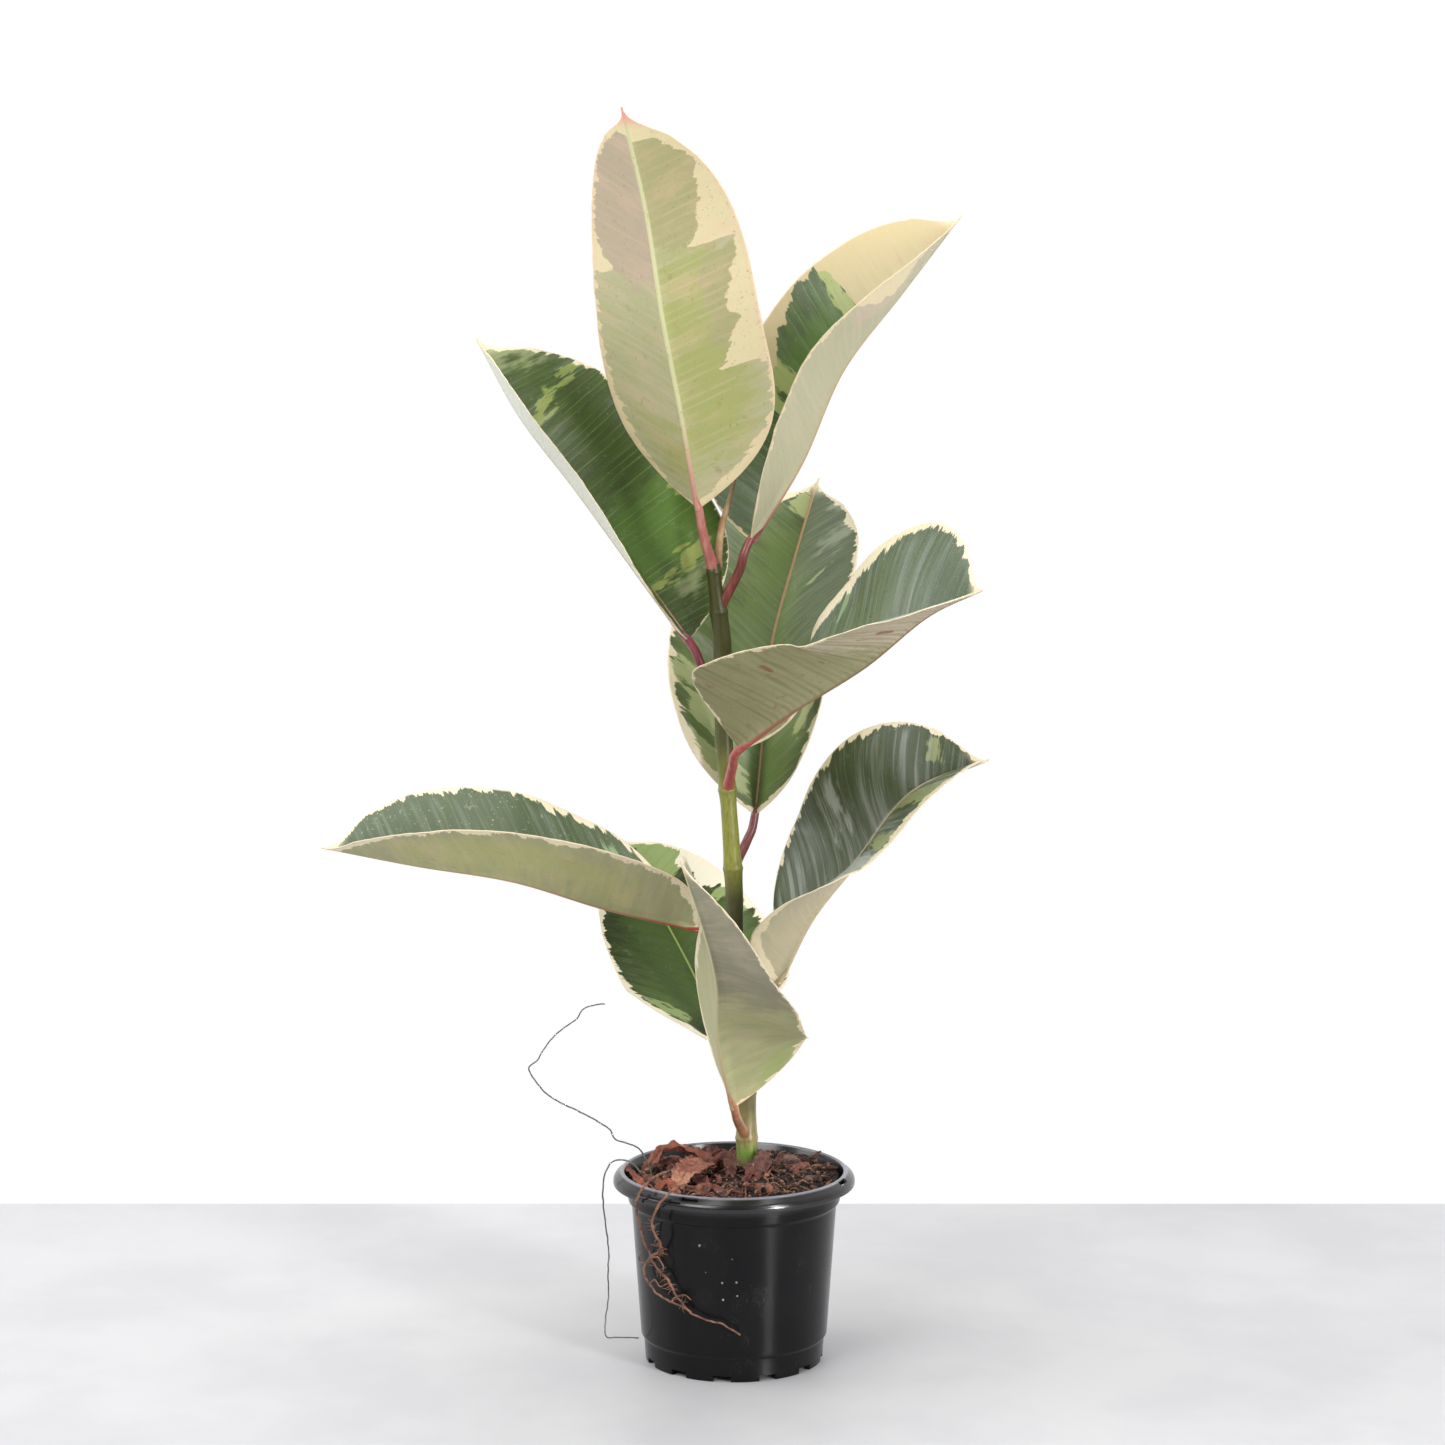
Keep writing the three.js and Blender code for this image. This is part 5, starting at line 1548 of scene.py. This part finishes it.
def pot_material():
    """Black moulded plastic, brushed upwards by its mould, with a thin veil of dust and a painted highlight
    along its lip.
    """
    made, tree, shader = material("black plastic")
    x, y, height = put(tree, "ShaderNodeSeparateXYZ", {0: place_in_object(tree)}).outputs
    rim = rise(tree, height, *RIM_SHEEN_HEIGHTS)
    _, dust = grain(tree, 60, (0.45, 0.75), detail=5, roughness=0.65)
    veil = times(tree, dust, 0.08)
    lit = blend(tree, veil, colour("#09090b"), colour("#4a4743"))
    # Painted highlight: a pale lavender line along the lip
    lit = blend(tree, times(tree, rise(tree, height, *LIP_HIGHLIGHT_HEIGHTS), 0.8), lit, colour("#8d8c98"))
    tree.links.new(lit, shader.inputs["Base Color"])
    tree.links.new(minus(tree, plus(tree, veil, 0.22), times(tree, rim, 0.01)), shader.inputs["Roughness"])
    tree.links.new(plus(tree, times(tree, rim, 0.5), 0.2), shader.inputs["Specular IOR Level"])
    tree.links.new(minus(tree, 0.9, times(tree, rim, 0.9)), shader.inputs["Anisotropic"])
    around = coordinates(tree, times(tree, y, -1), x, 0)
    facing = tree.nodes.new("ShaderNodeNewGeometry").outputs["Normal"]
    upwards = put(tree, "ShaderNodeVectorMath", {0: around, 1: facing}, operation="CROSS_PRODUCT")
    tree.links.new(upwards.outputs[0], shader.inputs["Tangent"])
    return made


def soil_height(x, y):
    """The height of the soil's surface: a slope, a mound round the stem and two slow waves."""
    away = math.hypot(x - MOUND_PLACE[0], y - MOUND_PLACE[1]) / MOUND_SPREAD
    mound = MOUND_HEIGHT * math.exp(-0.5 * away * away)
    x_mm, y_mm = x / MM, y / MM
    broad = BROAD_WAVE_HEIGHT * math.sin(0.19 * x_mm + 0.6) * math.cos(0.23 * y_mm - 0.4)
    slant = SLANT_WAVE_HEIGHT * math.sin(0.31 * x_mm - 0.27 * y_mm + 1.1)
    return SOIL_LEVEL + SOIL_SLOPE[0] * x + SOIL_SLOPE[1] * y + mound + broad + slant


def make_soil(finish):
    """The soil: a round patch of crumbly ground with its body below."""
    shape = bmesh.new()
    bmesh.ops.create_grid(shape, x_segments=SOIL_CELLS, y_segments=SOIL_CELLS, size=0.5)
    for corner in shape.verts:
        a, b = corner.co.x * 2, corner.co.y * 2
        x = SOIL_RADIUS * a * math.sqrt(1 - b * b / 2)
        y = SOIL_RADIUS * b * math.sqrt(1 - a * a / 2)
        lumps = noise.fractal((x * LUMP_SCALE, y * LUMP_SCALE, 3.1), 0.7, 2.1, 4) * LUMP_HEIGHT
        corner.co = (x, y, soil_height(x, y) + lumps)
    rim = [edge for edge in shape.edges if edge.is_boundary]
    grown = bmesh.ops.extrude_edge_only(shape, edges=rim)["geom"]
    for corner in (item for item in grown if isinstance(item, bmesh.types.BMVert)):
        corner.co.xy *= SOIL_UNDERSIDE_SHARE
        corner.co.z = SOIL_UNDERSIDE
    close_ends(shape)
    piece("soil_body", shape, [finish], ["soil"])


def join(shapes):
    """Several meshes as one."""
    whole = bmesh.new()
    for shape in shapes:
        mesh = bpy.data.meshes.new("part")
        shape.to_mesh(mesh)
        shape.free()
        whole.from_mesh(mesh)
        bpy.data.meshes.remove(mesh)
    return whole


def strand(kind, points, seed):
    """A thin tube through points that wavers a little and thins from its first radius to its last."""
    form = STRANDS[kind]
    route = Route(points)
    steps = max(LEAST_STRAND_STEPS, round(route.length / form["step"]))
    path = []
    for step in range(steps + 1):
        share = step / steps
        away = noise.noise_vector((share * route.length * WAVER_SCALE, seed, 0))
        path.append(route.point(share) + away * form["waver"] * min(share / WAVER_START_SHARE, 1))

    def radius_at(share, turn):
        knots = 1 + KNOT_SHARE * noise.noise((share * route.length * KNOT_SCALE, seed, 7))
        return lerp(*form["radii"], share) * knots

    return tube(path, radius_at, form["sides"])


def root_hairs():
    """Short hairs where the two brown roots tangle."""
    chance = random.Random(5)
    route = Route(LONG_ROOT_RIGHT)
    hairs = []
    for number in range(HAIR_COUNT):
        start = route.point(chance.uniform(*HAIR_SPAN))
        half_length = chance.uniform(*HAIR_LENGTHS) / 2
        way = random_vector(chance, *HAIR_WAYS).normalized()
        bend = random_vector(chance, *HAIR_BENDS) * HAIR_BEND_SHARE
        middle = start + way * half_length
        end = middle + (way + bend).normalized() * half_length
        hairs.append(strand("root hair", [start, middle, end], number))
    return hairs


def make_brown_roots(finish):
    strands = [strand("left root", LONG_ROOT_LEFT, 1), strand("right root", LONG_ROOT_RIGHT, 2)]
    strands += [strand("rootlet", points, 10 + number) for number, points in enumerate(ROOTLETS)]
    piece("brown_roots_strands", join(strands + root_hairs()), [finish], ["brown_roots"])


def make_soil_rootlets(finish):
    """Reddish rootlets that lie on the soil."""
    rootlets = []
    for number, points in enumerate(SOIL_ROOTLETS):
        lying = [(x, y, soil_height(x, y) + ROOTLET_LIFT) for x, y in points]
        rootlets.append(strand("soil rootlet", lying, 60 + number))
    piece("soil_rootlets", join(rootlets), [finish])


def make_grey_roots(finish):
    for number, (name, points) in enumerate(GREY_ROOTS.items()):
        piece(name + "_strand", strand("grey root", points, 20 + number), [finish], [name])


def scrap_width(scrap, share):
    """Half the width of a scrap along its length, torn unevenly."""
    body = SCRAP_END_WIDTH + (1 - SCRAP_END_WIDTH) * math.sin(math.pi * share) ** 0.7
    change = SCRAP_WIDTH_CHANGE * noise.noise((share * SCRAP_WIDTH_CHANGES, scrap["seed"], 0))
    return scrap["width"] * body * (1 + change)


def scrap_sheet(scrap, rows, columns):
    """A dried scrap as a thin crumpled sheet with torn edges."""
    route = Route(scrap["points"])
    stations = []
    for row in range(rows + 1):
        share = row / rows
        stations.append(Station(scrap, route, 0, share, scrap_width(scrap, share)))
    shape = bmesh.new()
    along = shape.verts.layers.float.new("along")
    for corner, row, index, under in rolled_grid(shape, rows, columns):
        station = stations[row]
        column = index / columns * 2 - 1 or 1e-6
        side = 3 * math.copysign(1, column)
        tear = SCRAP_TEAR * noise.noise((station.share * SCRAP_TEARS, side, scrap["seed"]))
        column *= 1 + tear * abs(column)
        point, out = station.upper(column)
        crumple = noise.fractal(point * SCRAP_CRUMPLE_SCALE + Vector((scrap["seed"], 0, 0)), 0.8, 2.2, 3)
        point += out * crumple * SCRAP_CRUMPLE * (0.4 + 0.6 * abs(column))
        corner.co = point - out * SCRAP_THICKNESS if under else point
        corner[along] = station.share
    close_ends(shape)
    return shape


def make_scraps():
    for name, scrap in SCRAPS.items():
        shape = scrap_sheet(scrap, SCRAP_ROWS, SCRAP_COLUMNS)
        piece(name + "_sheet", shape, [scrap_material(name, scrap["colours"])], [name])


def leaf_bit(chance, number):
    """One small torn bit of dried leaf, most often at the left of the stem."""
    place = on_soil(chance, 0.012, 0.052)
    if place.x > 0 and number % 4:
        place.x = -place.x
    turn = chance.uniform(0, math.tau)
    step = Vector((math.cos(turn), math.sin(turn), 0)) * chance.uniform(*BIT_STEPS)
    last = BIT_POINTS - 1
    points = []
    for count in range(BIT_POINTS):
        point = place + step * (count - last / 2)
        lift = BIT_ARCH * math.sin(math.pi * count / last) + chance.uniform(0, BIT_LIFT)
        point.z = soil_height(point.x, point.y) + lift
        points.append(point)
    return scrap_sheet(dict(
        points=points, faces=(chance.uniform(-0.6, 0.6), -0.7, 1), seed=50 + number,
        twist=[chance.uniform(-30, 30) for _ in range(3)], fold=[chance.uniform(5, 40) for _ in range(3)],
        width=chance.uniform(*BIT_WIDTHS),
    ), BIT_ROWS, BIT_COLUMNS)


def make_bits():
    """Small torn bits of dried leaf on the soil."""
    chance = random.Random(23)
    bits = [leaf_bit(chance, number) for number in range(BIT_COUNT)]
    piece("soil_leaf_bits", join(bits), [scrap_material("leaf bits", BIT_COLOURS)])


def scrap_material(name, colours):
    """A dry papery brown that changes towards the scrap's far end, with dark creases."""
    made, tree, shader = material(name + " finish", roughness=0.62)
    low, high, end = (colour(code) for code in colours)
    fine, share = grain(tree, 260, (0.36, 0.62), roughness=0.65)
    lit = blend(tree, share, low, high)
    far = plus(tree, attribute(tree, "along"), times(tree, minus(tree, fine, 0.5), 0.5))
    lit = blend(tree, rise(tree, far, 0.62, 0.85), lit, end)
    creases, creased = grain(tree, 700, (0.52, 0.7), detail=3)
    lit = blend(tree, times(tree, creased, 0.65), lit, colour("#3a201a"))
    tree.links.new(lit, shader.inputs["Base Color"])
    roughen(tree, shader, plus(tree, fine, times(tree, creases, 0.5)), 0.0012)
    return made


def make_bark(finish):
    """Lumps of bark: round ones with broken facets and a rough skin."""
    for name, lump in BARK.items():
        shape = bmesh.new()
        bmesh.ops.create_icosphere(shape, subdivisions=5, radius=1)
        middle = Vector(lump["middle"])
        half = Vector(lump["half"])
        turn = Matrix.Rotation(math.radians(lump["turn"]), 3, "Z")
        for corner in shape.verts:
            facets = noise.cell(corner.co * BARK_FACET_SCALE + middle * 900)
            rough = noise.fractal(corner.co * BARK_ROUGH_SCALE + middle * 500, 0.9, 2.1, 5)
            size = BARK_SIZE + BARK_FACET_SIZE * facets + BARK_ROUGH_SIZE * rough
            corner.co = turn @ (corner.co * half * size) + middle
        piece(name + "_chunk", shape, [finish], [name])


def make_twigs(finish):
    for number, (name, points) in enumerate(TWIGS.items()):
        piece(name + "_wood", strand("twig", points, 40 + number), [finish], [name])


def on_soil(chance, inner=0.009, outer=0.0588):
    """A random place on the soil, clear of the stem and the wall."""
    while True:
        x, y = chance.uniform(-outer, outer), chance.uniform(-outer, outer)
        clear = math.hypot(x - MOUND_PLACE[0], y - MOUND_PLACE[1]) > inner
        if clear and math.hypot(x, y) < outer:
            return Vector((x, y, soil_height(x, y)))


def crumb(chance, size, tone):
    """One crumb or chip of the potting mix, with its tone from dark to light."""
    shape = bmesh.new()
    layer = shape.verts.layers.float.new("tone")
    bmesh.ops.create_icosphere(shape, subdivisions=1, radius=1)
    turn = Matrix.Rotation(chance.uniform(0, math.tau), 3, "Z")
    turn @= Matrix.Rotation(chance.uniform(-CRUMB_TILT, CRUMB_TILT), 3, "X")
    place = on_soil(chance) + Vector((0, 0, chance.uniform(0, CRUMB_LIFT)))
    for corner in shape.verts:
        corner.co = turn @ (corner.co * size * chance.uniform(0.75, 1.2)) + place
        corner[layer] = tone + chance.uniform(-0.05, 0.05)
    return shape


def fibre(chance, number):
    """A loose fibre that lies on the potting mix."""
    points = [on_soil(chance, 0.014, 0.055)]
    turn = chance.uniform(0, math.tau)
    length = chance.uniform(*FIBRE_LENGTHS)
    step = Vector((math.cos(turn), math.sin(turn), 0)) * length / 3
    lift = chance.uniform(*FIBRE_LIFTS)
    for share in (0.5, 1, 0.3):
        sway = Vector((chance.uniform(-1, 1), chance.uniform(-1, 1), 0)) * length * FIBRE_SWAY
        point = points[-1] + step + sway
        point.z = soil_height(point.x, point.y) + FIBRE_REST + lift * share
        points.append(point)
    shape = strand("fibre", points, number)
    layer = shape.verts.layers.float.new("tone")
    tone = chance.uniform(0.3, 0.85)
    for corner in shape.verts:
        corner[layer] = tone
    return shape


def litter_material():
    """Dark peat, brown bark and tan fibre, by the tone that each bit carries."""
    made, tree, shader = material("soil litter", roughness=0.85)
    toned = colour_ramp(tree, attribute(tree, "tone"), LITTER_STOPS)
    fine, share = grain(tree, 900, (0.4, 0.7), detail=3)
    lit = blend(tree, times(tree, share, 0.4), toned, colour("#241812"))
    tree.links.new(lit, shader.inputs["Base Color"])
    roughen(tree, shader, fine, 0.0006)
    return made


def make_litter(finish):
    """Crumbs, chips and fibres that lie on the soil."""
    chance = random.Random(11)
    crumbs = []
    for _ in range(CRUMB_COUNT):
        size = random_vector(chance, *CRUMB_SIZES_MM) * MM
        crumbs.append(crumb(chance, size, chance.uniform(0, 0.95) ** 2))
    for _ in range(CHIP_COUNT):
        size = random_vector(chance, *CHIP_SIZES_MM) * MM
        crumbs.append(crumb(chance, size, chance.uniform(0.05, 0.72)))
    piece("soil_crumbs", join(crumbs), [finish])
    fibres = [fibre(chance, 100 + number) for number in range(FIBRE_COUNT)]
    piece("soil_fibres", join(fibres), [finish])


def make_drops():
    """Drops of water on the front of the pot."""
    finish, _, _ = material("water", roughness=0.02, alpha=0.35, base_color=(0.75, 0.8, 0.85, 1))
    beads = []
    for x, z, size in DROPS:
        share = (z - BODY_BASE_HEIGHT) / (BODY_TOP_HEIGHT - BODY_BASE_HEIGHT)
        radius = lerp(BODY_BASE_RADIUS, BODY_TOP_RADIUS, share)
        bead = bmesh.new()
        bmesh.ops.create_icosphere(bead, subdivisions=3, radius=size)
        turn = math.asin(x / radius)
        bmesh.ops.scale(bead, vec=(1, DROP_FLATNESS, 1), verts=bead.verts)
        bmesh.ops.rotate(bead, verts=bead.verts, cent=(0, 0, 0), matrix=Matrix.Rotation(turn, 3, "Z"))
        place = (x, -radius * math.cos(turn) - size * DROP_STANDING, z)
        bmesh.ops.translate(bead, vec=place, verts=bead.verts)
        beads.append(bead)
    piece("pot_drops", join(beads), [finish])


def make_table(finish):
    """A pale tabletop whose far edge shows behind the pot."""
    depth = TABLE_FAR_EDGE - TABLE_NEAR_EDGE
    middle = (TABLE_FAR_EDGE + TABLE_NEAR_EDGE) / 2
    shape = bmesh.new()
    bmesh.ops.create_cube(shape, size=1)
    bmesh.ops.scale(shape, vec=(TABLE_WIDTH, depth, TABLE_THICKNESS), verts=shape.verts)
    bmesh.ops.translate(shape, vec=(0, middle, -TABLE_THICKNESS / 2), verts=shape.verts)
    mesh = bpy.data.meshes.new("floor")
    shape.to_mesh(mesh)
    shape.free()
    mesh.materials.append(finish)
    floor = bpy.data.objects.new("floor", mesh)
    bpy.context.collection.objects.link(floor)


def set_camera():
    data = bpy.data.cameras.new("camera")
    data.lens = CAMERA_LENS
    camera = bpy.data.objects.new("camera", data)
    camera.location = CAMERA_PLACE
    camera.rotation_euler = (math.radians(90 - CAMERA_PITCH), 0, 0)
    bpy.context.collection.objects.link(camera)
    bpy.context.scene.camera = camera


def area_light(name, place, target, size, power, spread=180):
    """A rectangular light that points at a target; its spread is in degrees."""
    data = bpy.data.lights.new(name, "AREA")
    data.spread = math.radians(spread)
    data.shape = "RECTANGLE"
    data.size, data.size_y = size
    data.energy = power
    light = bpy.data.objects.new(name, data)
    light.location = place
    light.rotation_euler = (Vector(target) - Vector(place)).to_track_quat("-Z", "Y").to_euler()
    bpy.context.collection.objects.link(light)


def set_world():
    """White behind the part, and a studio that is brighter behind than in front."""
    world = bpy.data.worlds.new("studio")
    bpy.context.scene.world = world
    world.use_nodes = True
    tree = world.node_tree
    direction = put(tree, "ShaderNodeTexCoord").outputs["Generated"]
    depth = put(tree, "ShaderNodeSeparateXYZ", {0: direction}).outputs[1]
    glow = put(tree, "ShaderNodeMapRange", {
        "Value": depth, "From Min": -0.8, "From Max": 0.8, "To Min": 0.22, "To Max": 1.0,
    }).outputs[0]
    seen = put(tree, "ShaderNodeLightPath").outputs["Is Camera Ray"]
    strength = put(tree, "ShaderNodeMix", {0: seen, 2: glow, 3: 1.0}).outputs[0]
    background = tree.nodes["Background"]
    background.inputs["Color"].default_value = (1, 1, 1, 1)
    tree.links.new(strength, background.inputs["Strength"])


bpy.context.scene.view_settings.view_transform = "Standard"
set_camera()
set_world()
for name, light in LIGHTS.items():
    area_light(name, **light)
make_table(plain_material("pale table", "#bbbbbe", "#c3c3c5", 7, 0.5, 0.00005))

make_pot(pot_material())
make_soil(plain_material("potting mix", "#110c0a", "#2b1e18", 320, 0.95, 0.0008))
make_stem(stem_material())
make_sheath(plain_material("dried sheath", "#c8a880", "#ae8460", 120, 0.6, 0.0002))
make_leaves()
make_brown_roots(plain_material("brown root", "#5a3c30", "#946a52", 260, 0.65, 0.0004))
make_soil_rootlets(plain_material("soil rootlet", "#6b3a30", "#a5644f", 260, 0.6, 0.0004))
make_grey_roots(plain_material("grey root", "#56534d", "#75716a", 300, 0.7, 0.0002))
make_scraps()
make_bits()
make_bark(plain_material("bark", "#46302c", "#7f5f56", 240, 0.8, 0.0015))
make_twigs(plain_material("twig", "#4d3628", "#8a6a4c", 380, 0.8, 0.0008))
make_litter(litter_material())
make_drops()
